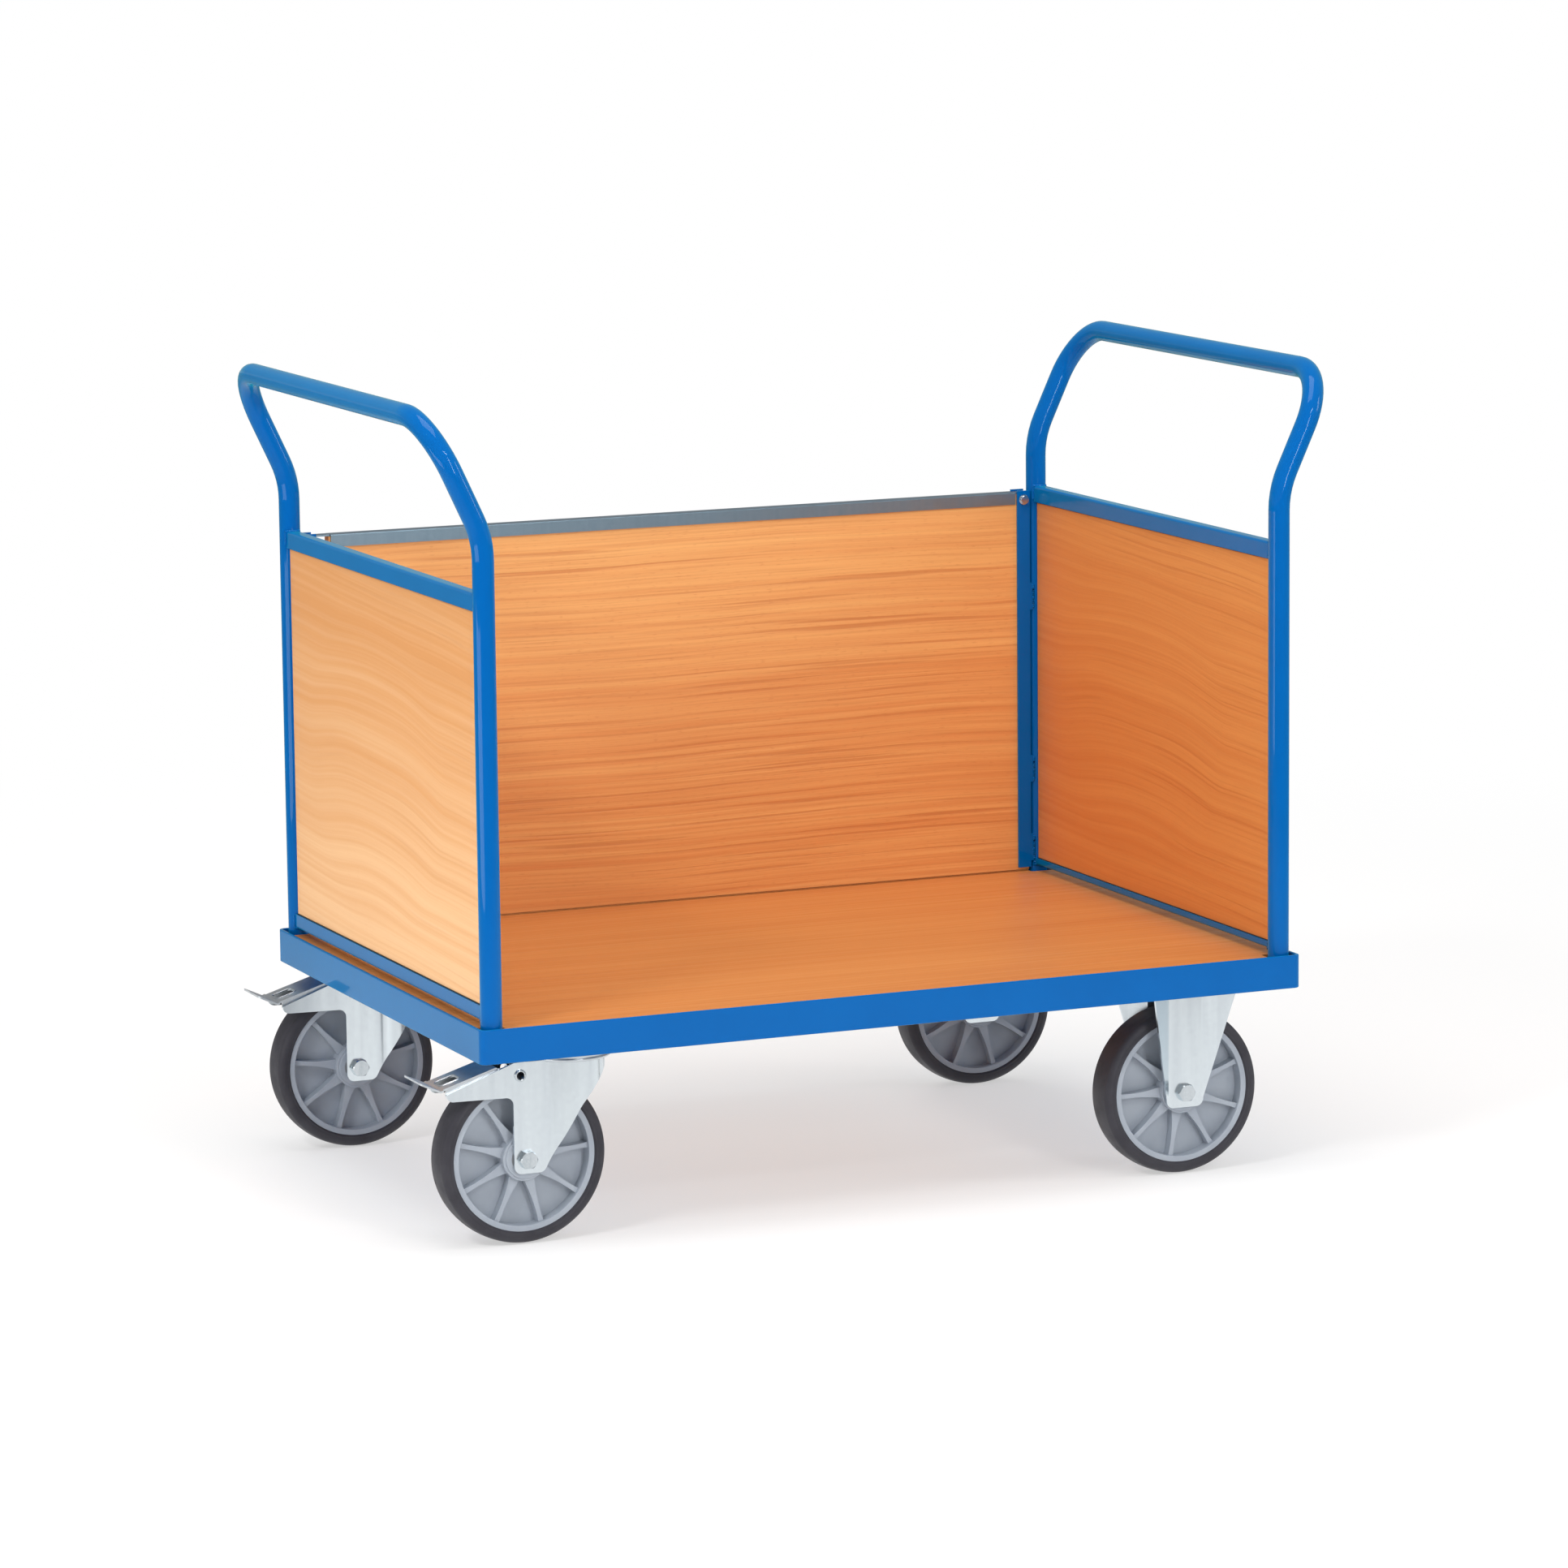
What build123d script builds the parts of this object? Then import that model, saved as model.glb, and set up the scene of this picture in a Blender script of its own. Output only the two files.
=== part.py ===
from build123d import *
import os
from math import cos, pi, radians, sin, sqrt, tan

# Three-sided platform trolley, millimetres.
# X runs along the long side, Y from the open front to the back wall, Z up from the floor.
# The origin lies on the floor under the middle of the frame.

# Frame: four rails with an inner ledge, and two cross plates under it
frame_length = 1030.0
frame_width = 700.0
frame_height = 39.5
frame_wall = 4.0
frame_bend_radius = 4.0
frame_edge_round = 1.2
ledge_width = 36.0
ledge_wall = 3.0
ledge_end_gap = 2.0
cross_wall = 4.0
cross_margin = 12.0
cross_fit = 0.1

# Deck board, held from below
deck_thickness = 15.0
deck_drop = 3.0
deck_gap = 2.0
deck_post_gap = 3.0
deck_notch_round = 5.0
deck_edge_round = 0.8
screw_radius = 2.0
screw_head_radius = 4.5
screw_head_height = 2.4
screw_bite = 10.0
screw_columns = 4
screw_fit = 0.2

# Handles: one bent tube at each end
post_inset = 20.0
tube_radius = 12.5
tube_wall = 2.0
bar_rise = 196.5
handle_reach = 62.7
handle_lean = 25.0
lean_bend_radius = 110.0
corner_bend_radius = 68.0
weld_gap = 0.1

# End walls between the legs of each handle
rail_width = 16.0
rail_wall = 2.0
rail_round = 3.0
top_rail_height = 20.0
bottom_rail_outer_height = 17.0
bottom_rail_inner_height = 8.0
bottom_rail_lift = 7.8
end_wall_height = 490.5
end_panel_thickness = 10.0
end_panel_side_gap = 1.5
seal_base = 2.0
seal_proud = 1.0

# Back wall
back_thickness = 15.0
back_set_forward = 6.0
back_side_gap = 1.5
back_deck_gap = 1.5
back_wall_drop = 10.0
board_edge_round = 0.8
board_foot_rise = 2.0
board_foot_inset = 3.0
board_notch_length = 17.0
board_notch_depth = 12.0
channel_wall = 2.0
channel_fit = 0.25
channel_flange = 15.0
channel_top_gap = 0.5
channel_end_gap = 2.0
guide_width = 17.0
guide_wall = 3.0
guide_fit = 0.5
guide_lift = 5.0
guide_rise = 2.0
guide_slit = 0.5
lug_height = 34.0
lug_heights = (30.0, 131.0, 351.0)
lug_end_inset = 6.0
wall_bolt_radius = 3.0
wall_bolt_flats = 10.0
wall_bolt_head = 4.0
wall_bolt_drop = 9.0
wall_bolt_stick_out = 2.0
wall_nut_height = 5.0
wall_washer_radius = 6.5
wall_washer_wall = 1.2
wall_bolt_fit = 0.2
thread_fit = 0.02

# Castors: places and plates
castor_head_room = 35.0
swivel_inset = 129.0
fixed_inset = 134.0
plate_length = 135.0
plate_width = 120.0
plate_side_gap = 3.0
plate_wall = 5.0
plate_corner_radius = 9.0
hole_pitch_x = 105.0
hole_pitch_y = 75.0
stud_radius = 4.0
stud_head_radius = 8.0
stud_head_height = 2.8
stud_head_gap = 1.0
stud_fit = 0.4
stud_stick_out = 2.0
stud_nut_flats = 13.0
stud_nut_height = 6.5

# Wheels
wheel_radius = 100.0
tyre_width = 44.0
tyre_depth = 15.0
tyre_shoulder = 8.0
tyre_crown = 1.0
tyre_bond_gap = 0.05
tyre_foot_inset = 2.0
rim_depth = 6.5
rim_round = 1.0
web_half_wall = 4.0
hub_radius = 26.5
hub_round = 1.0
hub_step_width = 3.0
hub_step_depth = 2.0
hub_side_gap = 1.2
rib_count = 9
rib_recess = 4.0
rib_neck = 2.5
rib_neck_place = 0.68
rib_hub_spread = 6.6
rib_rim_spread = 3.6
rib_hub_sag = 1.0
rib_rim_sag = 0.3
rib_phases = {"front_left": 5.0, "rear_left": 13.0, "front_right": 21.0, "rear_right": 6.0}
bush_radius = 14.0
bush_length = 18.0
bush_flange_radius = 17.0
bush_flange_wall = 1.0
bush_fit = 0.05
sleeve_radius = 10.0
sleeve_fit = 0.1
axle_radius = 6.0
axle_flats = 19.0
axle_head = 7.5
axle_nut_height = 10.0
axle_stick_out = 3.0
running_fit = 0.05

# Swivel forks, lengths measured from the axle, heights from the top of the wheel
tyre_side_gap = 4.0
fork_wall = 3.5
swivel_trail = 62.0
crown_radius = 42.0
crown_wall = 4.0
crown_ring_radius = 48.0
crown_ring_lap = 2.0
crown_ring_round = 4.5
crown_lip_height = 8.0
cheek_bend_radius = 15.0
leg_front = 15.5
leg_rear = 20.0
leg_drop = 16.5
leg_corner_radius = 9.0
fork_tail_rise = 4.0
fork_waist_drop = 41.6
fork_waist_round = 60.0
nose_reach = 95.0
nose_top_drop = 17.5
nose_tip_drop = 26.0
nose_root_drop = 27.5
nose_shoulder = 14.0
nose_top_round = 1.0
nose_tip_round = 7.5
ball_radius = 3.0
ball_gap = 0.15
upper_ball_ring = 31.0
upper_ball_count = 16
lower_ball_ring = 24.0
lower_ball_count = 12
race_boss_height = 11.7
race_boss_half_width = 4.0
race_disc_radius = 30.0
race_disc_wall = 4.5
king_pin_radius = 6.0
king_pin_head_radius = 11.0
king_pin_head_height = 6.0
king_pin_sink = 1.0

# Brake pedals, lengths measured from the axle, heights from the top of the wheel
pedal_travel = 12.0
pedal_wall = 2.3
pedal_rise = 3.5
pedal_tip_rise = 7.5
pedal_side_gap = 0.3
pedal_flange_wall = 1.7
pedal_flange_depth = 8.0
pedal_inner_end = 34.0
pedal_flange_end = 95.0
pedal_tip_start = 98.5
pedal_tip_end = 102.0
pedal_tip_inset = 0.5
tab_end = 126.0
tab_drop = 1.5
tab_round = 6.0
slot_start = 72.0
slot_end = 96.5
slot_half_width = 11.0
slot_round = 4.0
pivot_back = 7.0
pivot_drop = 2.8
pivot_eye_radius = 8.5
rivet_radius = 5.5
rivet_bore = 4.3
rivet_head_radius = 7.0
rivet_head_wall = 1.2
shoe_reach = 42.0
shoe_half_length = 9.0
shoe_half_width = 18.0
shoe_gap = 0.6

# Fixed forks, outlines measured from the axle
fixed_leg_half_width = 24.0
fixed_flat_half_width = 21.5
fixed_leg_drop = 18.0
fixed_flare_drop = 8.0
fixed_top_half_width = 55.0
fixed_edge_margin = 0.5
fixed_bottom_round = 9.0

# Levels and places that follow from the sizes above
wheel_top = 2 * wheel_radius
castor_height = wheel_top + castor_head_room
cross_top = castor_height + cross_wall
deck_bottom = cross_top + ledge_wall
deck_top = deck_bottom + deck_thickness
frame_top = deck_top + deck_drop
frame_bottom = frame_top - frame_height
end_wall_top = deck_top + end_wall_height
back_panel_top = end_wall_top - back_wall_drop
bar_height = end_wall_top + bar_rise
half_length = frame_length / 2
half_width = frame_width / 2
inner_x = half_length - frame_wall
inner_y = half_width - frame_wall
frame_corner_radius = frame_bend_radius + frame_wall
post_x = half_length - post_inset
post_y = half_width - post_inset
post_edge_x = post_x - tube_radius
post_edge_y = post_y - tube_radius
back_inner = post_y - back_set_forward
back_outer = back_inner + back_thickness
back_half_length = post_edge_x - back_side_gap
guide_outer_x = post_edge_x - guide_slit
guide_inner_x = guide_outer_x - guide_width
guide_front = back_inner - guide_fit - guide_wall
guide_rear = back_outer + guide_fit + guide_wall
channel_top = back_panel_top + channel_top_gap + channel_wall
wall_bolt_x = (guide_outer_x + guide_inner_x) / 2
wall_bolt_z = channel_top - wall_bolt_drop
bottom_rail_base = deck_top + bottom_rail_lift
plate_bottom = castor_height - plate_wall
axle_z = wheel_radius
castor_y = inner_y - plate_side_gap - plate_width / 2
swivel_x = swivel_inset - half_length
swivel_axle_x = swivel_x - swivel_trail
fixed_axle_x = half_length - fixed_inset
left_cross_end = swivel_x + plate_length / 2 + cross_margin
right_cross_end = fixed_axle_x - plate_length / 2 - cross_margin
fork_inner = tyre_width / 2 + tyre_side_gap
fork_outer = fork_inner + fork_wall
rim_radius = wheel_radius - tyre_depth
rim_half = tyre_width / 2 - tyre_foot_inset
rim_inner = rim_radius - rim_depth
hub_half = fork_inner - hub_side_gap
boss_bottom = plate_bottom - race_boss_height
upper_ball_z = boss_bottom - ball_gap - ball_radius
crown_top = upper_ball_z - ball_radius - ball_gap
crown_bottom = crown_top - crown_wall
lower_ball_z = crown_bottom - ball_gap - ball_radius
race_top = lower_ball_z - ball_radius - ball_gap
race_bottom = race_top - race_disc_wall
pivot_z = wheel_top - pivot_drop
nose_slope = (crown_top - wheel_top + nose_top_drop) / (nose_reach - nose_shoulder)
pedal_half_width = fork_inner - pedal_side_gap
pedal_tip_half_width = fork_outer - pedal_tip_inset
pedal_flange_inner = pedal_half_width - pedal_flange_wall


def block(x0, x1, y0, y1, z0, z1):
    """A box between two opposite corners."""
    return Pos((x0 + x1) / 2, (y0 + y1) / 2, (z0 + z1) / 2) * Box(x1 - x0, y1 - y0, z1 - z0)


def between(side, a, b):
    """Two distances from the middle, taken to one side and put in rising order."""
    return sorted((side * a, side * b))


def upright(radius, x, y, z0, z1):
    """A round bar along Z."""
    bar = Cylinder(radius, z1 - z0, align=(Align.CENTER, Align.CENTER, Align.MIN))
    return Pos(x, y, z0) * bar


def across(radius, x, z, y0, y1):
    """A round bar along Y."""
    bar = Cylinder(radius, y1 - y0, align=(Align.CENTER, Align.CENTER, Align.MIN))
    return Pos(x, y1, z) * Rot(90, 0, 0) * bar


def hexagon(flats, height):
    """A hexagon block standing on the XY plane, its corners taken off at both ends."""
    corner = flats / sqrt(3)
    bar = Cylinder(corner, height, align=(Align.CENTER, Align.CENTER, Align.MIN))
    bar = chamfer(bar.edges().filter_by(GeomType.CIRCLE), corner - flats / 2)
    return bar & extrude(RegularPolygon(flats / 2, 6, major_radius=False), height)


def hexagon_across(flats, x, z, y0, y1):
    """A hexagon block along Y."""
    return Pos(x, y1, z) * Rot(90, 0, 0) * hexagon(flats, y1 - y0)


def outline(points, rounds=None):
    """A face with the given corners, each rounded by its own radius."""
    if rounds is None:
        return make_face(Polyline(*points, close=True))
    return make_face(FilletPolyline(*points, radius=rounds, close=True))


def side_slab(face, y0, y1):
    """A face drawn in X and Z, given a thickness from y0 to y1."""
    return extrude(Plane((0, y1, 0), x_dir=(1, 0, 0), z_dir=(0, -1, 0)) * face, y1 - y0)


def long_slab(face, x0, x1):
    """A face drawn in Y and Z, given a length from x0 to x1."""
    return extrude(Plane((x0, 0, 0), x_dir=(0, 1, 0), z_dir=(1, 0, 0)) * face, x1 - x0)


def group(solids):
    """Separate solids kept together under one name."""
    return Compound(children=list(solids))


def posts(radius):
    """Upright bars of a given radius on the four post axes, from the floor to the bar."""
    return [upright(radius, sx * post_x, sy * post_y, 0, bar_height) for sx in (-1, 1) for sy in (-1, 1)]


def screw_places():
    """Deck screw centres along the front and rear ledges."""
    front = ledge_width / 2 - inner_y
    rear = (inner_y - ledge_width + back_inner - back_deck_gap) / 2
    pitch = (right_cross_end - left_cross_end) / screw_columns
    columns = [left_cross_end + (i + 0.5) * pitch for i in range(screw_columns)]
    return [(x, y) for y in (front, rear) for x in columns]


def stud_places():
    """Castor stud centres, four on each castor plate."""
    return [
        (x + sx * hole_pitch_x / 2, y + sy * hole_pitch_y / 2)
        for x in (swivel_x, fixed_axle_x)
        for y in (-castor_y, castor_y)
        for sx in (-1, 1)
        for sy in (-1, 1)
    ]


def frame_rails():
    """The four rails: a rounded ring with soft edges, cut at the corners, each with its ledge."""
    outer = RectangleRounded(frame_length, frame_width, frame_corner_radius)
    inner = RectangleRounded(2 * inner_x, 2 * inner_y, frame_bend_radius)
    skirt = Pos(0, 0, frame_bottom) * extrude(outer - inner, frame_height)
    skirt = fillet(skirt.edges().filter_by(Axis.Z, reverse=True), frame_edge_round)
    ledge_x = post_edge_x - ledge_end_gap
    ledge_y = inner_y - ledge_width
    holes = [upright(screw_radius + screw_fit, x, y, cross_top, deck_bottom) for x, y in screw_places()]
    room = stud_head_radius + stud_head_gap
    holes += [upright(room, x, y, cross_top, deck_bottom) for x, y in stud_places()]
    rails = {}
    for name, side in (("left", -1), ("right", 1)):
        x0, x1 = between(side, post_x, half_length)
        end = block(x0, x1, -half_width, half_width, frame_bottom, frame_top)
        x0, x1 = between(side, inner_x - ledge_width, inner_x)
        ledge = block(x0, x1, -ledge_y, ledge_y, cross_top, deck_bottom)
        rails[f"frame_{name}_rail"] = (skirt & end) + ledge
    for name, side in (("front", -1), ("rear", 1)):
        y0, y1 = between(side, 0, half_width)
        length = block(-post_x, post_x, y0, y1, frame_bottom, frame_top)
        y0, y1 = between(side, ledge_y, inner_y)
        ledge = block(-ledge_x, ledge_x, y0, y1, cross_top, deck_bottom) - holes
        rails[f"frame_{name}_rail"] = (skirt & length) + ledge
    return rails


def cross_plates():
    """The plates under the ledges that carry the castors and the handle feet."""
    width, depth = 2 * (inner_x - cross_fit), 2 * (inner_y - cross_fit)
    inner = RectangleRounded(width, depth, frame_bend_radius - cross_fit)
    sheet = Pos(0, 0, castor_height) * extrude(inner, cross_wall)
    holes = [upright(stud_radius + stud_fit, x, y, castor_height, cross_top) for x, y in stud_places()]
    plates = {}
    for name, x0, x1 in (("left", -inner_x, left_cross_end), ("right", right_cross_end, inner_x)):
        part = block(x0, x1, -inner_y, inner_y, castor_height, cross_top)
        plates[f"{name}_cross_plate"] = (sheet & part) - holes
    return plates


def deck_board():
    """The deck with rounded corner notches for the posts, up to the back wall."""
    x1 = inner_x - deck_gap
    front = -(inner_y - deck_gap)
    rear = back_inner - back_deck_gap
    notch = tube_radius + deck_post_gap
    nx = post_x - notch
    ny = post_y - notch
    points = [
        (-nx, front), (nx, front), (nx, -ny), (x1, -ny), (x1, ny), (nx, ny), (nx, rear),
        (-nx, rear), (-nx, ny), (-x1, ny), (-x1, -ny), (-nx, -ny),
    ]
    rounds = [0, 0, deck_notch_round, 0, 0, deck_notch_round] * 2
    board = Pos(0, 0, deck_bottom) * extrude(outline(points, rounds), deck_thickness)
    board = fillet(board.edges().group_by(Axis.Z)[-1], deck_edge_round)
    bite = deck_bottom + screw_bite
    return board - [upright(screw_radius, x, y, deck_bottom, bite) for x, y in screw_places()]


def deck_screws():
    """Pan head screws from below through the ledges into the deck."""
    head_top = cross_top
    return group(
        upright(screw_radius, x, y, head_top, deck_bottom + screw_bite)
        + upright(screw_head_radius, x, y, head_top - screw_head_height, head_top)
        for x, y in screw_places()
    )


def handle(side):
    """A bent tube: up from a foot, leaning outward, across as the bar, and down again."""
    bar_x = post_x + handle_reach
    knee_z = bar_height - handle_reach / tan(radians(handle_lean))
    front = [
        (side * post_x, -post_y, cross_top),
        (side * post_x, -post_y, knee_z),
        (side * bar_x, -post_y, bar_height),
    ]
    route = front + [(x, -y, z) for x, y, z in reversed(front)]
    bends = [lean_bend_radius, corner_bend_radius, corner_bend_radius, lean_bend_radius]
    path = FilletPolyline(*route, radius=bends)
    ring = Circle(tube_radius) - Circle(tube_radius - tube_wall)
    return sweep(Plane(path @ 0, z_dir=path % 0) * ring, path=path)


def end_rail(side, z0, inner_height, outer_height):
    """A channel between the legs of a handle from its web to the edges of its two walls."""
    half = rail_width / 2
    inside = half - rail_wall
    web = rail_wall if outer_height > 0 else -rail_wall
    corners = [(-half, inner_height), (-half, 0), (half, 0), (half, outer_height)]
    hollow = [(inside, outer_height), (inside, web), (-inside, web), (-inside, inner_height)]
    shell = outline(corners + hollow, [0, rail_round, rail_round, 0, 0, 0, 0, 0])
    shell = shell if side > 0 else mirror(shell, Plane.YZ)
    rail = Pos(side * post_x, 0, z0) * side_slab(shell, -post_y, post_y)
    return rail - posts(tube_radius + weld_gap)


def end_wall(side):
    """The board of an end wall, its rails and the seals on its upper and lower edges."""
    half_y = post_edge_y - end_panel_side_gap
    x = side * post_x
    seal_half = rail_width / 2 - rail_wall
    panel_half = end_panel_thickness / 2
    low_seat = bottom_rail_base + rail_wall
    high_seat = end_wall_top - rail_wall
    inner_mouth = bottom_rail_base + bottom_rail_inner_height + seal_proud
    outer_mouth = bottom_rail_base + bottom_rail_outer_height + seal_proud
    high_mouth = end_wall_top - top_rail_height - seal_proud
    panel = block(
        x - panel_half, x + panel_half, -half_y, half_y, low_seat + seal_base, high_seat - seal_base
    )
    low_seal = block(x - seal_half, x + seal_half, -half_y, half_y, low_seat, inner_mouth)
    x0, x1 = between(side, post_x, post_x + seal_half)
    low_seal = low_seal + block(x0, x1, -half_y, half_y, low_seat, outer_mouth) - panel
    high_seal = block(x - seal_half, x + seal_half, -half_y, half_y, high_mouth, high_seat) - panel
    return {
        "top_rail": end_rail(side, end_wall_top, -top_rail_height, -top_rail_height),
        "bottom_rail": end_rail(side, bottom_rail_base, bottom_rail_inner_height, bottom_rail_outer_height),
        "panel": panel,
        "panel_seals": group([low_seal, high_seal]),
    }


def wall_bolt_bars(radius):
    """Bars on the wall bolt axes, through the back wall and its guides."""
    return [across(radius, s * wall_bolt_x, wall_bolt_z, guide_front, guide_rear) for s in (-1, 1)]


def back_panel():
    """The board of the back wall on the rear ledge, its foot set back and its left upper corner notched."""
    board = block(-back_half_length, back_half_length, back_inner, back_outer, deck_bottom, back_panel_top)
    board = fillet(board.edges().filter_by(Axis.Z), board_edge_round)
    y1 = back_inner + board_foot_inset
    board -= block(-half_length, half_length, 0, y1, deck_bottom, deck_top + board_foot_rise)
    notch_end = board_notch_length - guide_inner_x
    notch_low = back_panel_top - board_notch_depth
    board -= block(-guide_inner_x, notch_end, back_inner, back_outer, notch_low, back_panel_top)
    return board - wall_bolt_bars(wall_bolt_radius + wall_bolt_fit)


def back_channel():
    """The channel on the back board, its flanges between the notch and the right guide, its web past both."""
    y0 = back_inner - channel_fit - channel_wall
    y1 = back_outer + channel_fit + channel_wall
    z0 = channel_top - channel_flange
    reach = guide_inner_x - channel_end_gap
    fold = channel_wall / 2
    shell = outline([(y0, z0), (y1, z0), (y1, channel_top), (y0, channel_top)], [0, 0, fold, fold])
    y0, y1 = y0 + channel_wall, y1 - channel_wall
    z1 = channel_top - channel_wall
    shell -= outline([(y0, z0), (y1, z0), (y1, z1), (y0, z1)])
    web = block(
        -back_half_length, back_half_length, back_inner, back_outer, channel_top - channel_wall, channel_top
    )
    return long_slab(shell, board_notch_length - reach, reach) + web


def guides(side):
    """The strips in front of and behind the back board, with lugs to the handle leg."""
    z0 = deck_top + guide_lift
    z1 = channel_top + guide_rise
    x0, x1 = between(side, guide_inner_x, guide_outer_x)
    front_inner = guide_front + guide_wall
    rear_inner = guide_rear - guide_wall
    front = block(x0, x1, guide_front, front_inner, z0, z1)
    rear = block(x0, x1, rear_inner, guide_rear, z0, z1)
    leg = upright(tube_radius + weld_gap, side * post_x, post_y, 0, bar_height)
    for height in lug_heights:
        low = deck_top + height - lug_height / 2
        high = low + lug_height
        x0, x1 = between(side, guide_outer_x, post_x - lug_end_inset)
        front += block(x0, x1, guide_front, front_inner, low, high) - leg
        rear += block(x0, x1, rear_inner, guide_rear, low, high) - leg
    holes = wall_bolt_bars(wall_bolt_radius + wall_bolt_fit)
    return group([front - holes, rear - holes])


def wall_fasteners():
    """Hexagon bolts through the guides and the back board, with washers and nuts."""
    bolts, washers, nuts = [], [], []
    front_face = guide_front - wall_washer_wall
    rear_face = guide_rear + wall_washer_wall
    tail = rear_face + wall_nut_height + wall_bolt_stick_out
    for s in (-1, 1):
        x, z = s * wall_bolt_x, wall_bolt_z
        hole = across(wall_bolt_radius + wall_bolt_fit, x, z, front_face, rear_face)
        bolts.append(
            across(wall_bolt_radius, x, z, front_face, tail)
            + hexagon_across(wall_bolt_flats, x, z, front_face - wall_bolt_head, front_face)
        )
        washers.append(across(wall_washer_radius, x, z, front_face, guide_front) - hole)
        washers.append(across(wall_washer_radius, x, z, guide_rear, rear_face) - hole)
        nuts.append(
            hexagon_across(wall_bolt_flats, x, z, rear_face, rear_face + wall_nut_height)
            - across(wall_bolt_radius + thread_fit, x, z, rear_face, tail)
        )
    return {"wall_bolts": group(bolts), "wall_washers": group(washers), "wall_nuts": group(nuts)}


def castor_fasteners():
    """Flat head studs through the cross plates and castor plates, with nuts under them."""
    nut_low = plate_bottom - stud_nut_height
    studs, nuts = [], []
    for x, y in stud_places():
        studs.append(
            upright(stud_head_radius, x, y, cross_top, cross_top + stud_head_height)
            + upright(stud_radius, x, y, nut_low - stud_stick_out, cross_top)
        )
        bore = upright(stud_radius + thread_fit, x, y, nut_low, plate_bottom)
        nuts.append(Pos(x, y, nut_low) * hexagon(stud_nut_flats, stud_nut_height) - bore)
    return {"castor_studs": group(studs), "castor_nuts": group(nuts)}


def castor_plate():
    """A castor's top plate with its four holes, about its own middle."""
    sheet = extrude(RectangleRounded(plate_length, plate_width, plate_corner_radius), plate_wall)
    plate = Pos(0, 0, plate_bottom) * sheet
    x, y = hole_pitch_x / 2, hole_pitch_y / 2
    centres = ((-x, -y), (x, -y), (x, y), (-x, y))
    return plate - [upright(stud_radius + stud_fit, a, b, plate_bottom, castor_height) for a, b in centres]


def ring(outer, inner, x, z0, z1):
    """An upright round ring on the castor's middle plane."""
    return upright(outer, x, 0, z0, z1) - upright(inner, x, 0, z0, z1)


def swivel_plate():
    """The plate of a swivel castor with the boss that the upper balls run on."""
    outer, inner = upper_ball_ring + race_boss_half_width, upper_ball_ring - race_boss_half_width
    boss = ring(outer, inner, 0, boss_bottom, plate_bottom)
    return castor_plate() + boss - upright(king_pin_radius + running_fit, 0, 0, plate_bottom, castor_height)


def king_pin():
    """The pin that holds the fork to the plate, about its own axis."""
    head_low = race_bottom - king_pin_head_height
    shank = upright(king_pin_radius, 0, 0, race_bottom, castor_height - king_pin_sink)
    head = upright(king_pin_head_radius, 0, 0, head_low, race_bottom)
    return shank + chamfer(head.edges().group_by(Axis.Z)[0], king_pin_sink)


def lower_race():
    """The disc under the lower balls."""
    return ring(race_disc_radius, king_pin_radius + running_fit, 0, race_bottom, race_top)


def ball_row(count, radius, z):
    """A ring of balls about the swivel axis."""
    turns = [2 * pi * i / count for i in range(count)]
    return [Pos(radius * cos(a), radius * sin(a), z) * Sphere(ball_radius) for a in turns]


def swivel_balls():
    """Both rows of balls of a swivel castor."""
    upper = ball_row(upper_ball_count, upper_ball_ring, upper_ball_z)
    return group(upper + ball_row(lower_ball_count, lower_ball_ring, lower_ball_z))


def nose_height(back):
    """Height of the nose's upper edge at a distance in front of the axle."""
    return crown_top - (back - nose_shoulder) * nose_slope


def swivel_fork():
    """A pressed fork: two legs with a nose, a round tail about the swivel axis and a crown with a lip."""
    z0, z1 = axle_z - leg_drop, crown_top
    x0 = -nose_reach
    tail = swivel_trail + crown_radius

    def footprint(inset):
        straight = Rectangle(swivel_trail - x0, 2 * (fork_outer - inset))
        head = Circle(crown_radius - inset)
        plan = Pos((x0 + swivel_trail) / 2, 0) * straight + Pos(swivel_trail, 0) * head
        bends = plan.vertices().filter_by_position(Axis.X, 0, swivel_trail)
        return fillet(bends, cheek_bend_radius + inset)

    walls = footprint(0) - footprint(fork_wall)
    side = outline(
        [
            (x0, wheel_top - nose_top_drop),
            (x0, wheel_top - nose_tip_drop),
            (-leg_front, wheel_top - nose_root_drop),
            (-leg_front, z0),
            (leg_rear, z0),
            (swivel_trail, wheel_top - fork_waist_drop),
            (tail, wheel_top + fork_tail_rise),
            (tail, z1),
            (-nose_shoulder, z1),
        ],
        [nose_top_round, nose_tip_round] + 3 * [leg_corner_radius] + [fork_waist_round, 0, 0, 0],
    )
    fork = (Pos(0, 0, z0) * extrude(walls, z1 - z0)) & side_slab(side, -crown_radius, crown_radius)
    cap = footprint(0) & (
        Pos((tail - nose_shoulder) / 2, 0) * Rectangle(tail + nose_shoulder, 2 * crown_radius)
    )
    fork += Pos(0, 0, crown_bottom) * extrude(cap, crown_wall)
    rim_low, rim_high = crown_top - crown_ring_lap, crown_top + crown_lip_height
    rim = upright(crown_ring_radius, swivel_trail, 0, rim_low, rim_high)
    rim = fillet(rim.edges().group_by(Axis.Z)[0], crown_ring_round)
    fork += rim - upright(crown_radius - fork_wall, swivel_trail, 0, 0, castor_height)
    fork -= upright(king_pin_radius + running_fit, swivel_trail, 0, crown_bottom, crown_top)
    fork -= across(axle_radius + sleeve_fit, 0, axle_z, -fork_outer, fork_outer)
    return fork - across(rivet_radius + running_fit, -pivot_back, pivot_z, -fork_outer, fork_outer)


def pedal_height(back):
    """Height of the pedal's upper face at a distance in front of the axle."""
    part = (back - pedal_inner_end) / (pedal_tip_end - pedal_inner_end)
    return nose_height(back) + pedal_rise + (pedal_tip_rise - pedal_rise) * part


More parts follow.
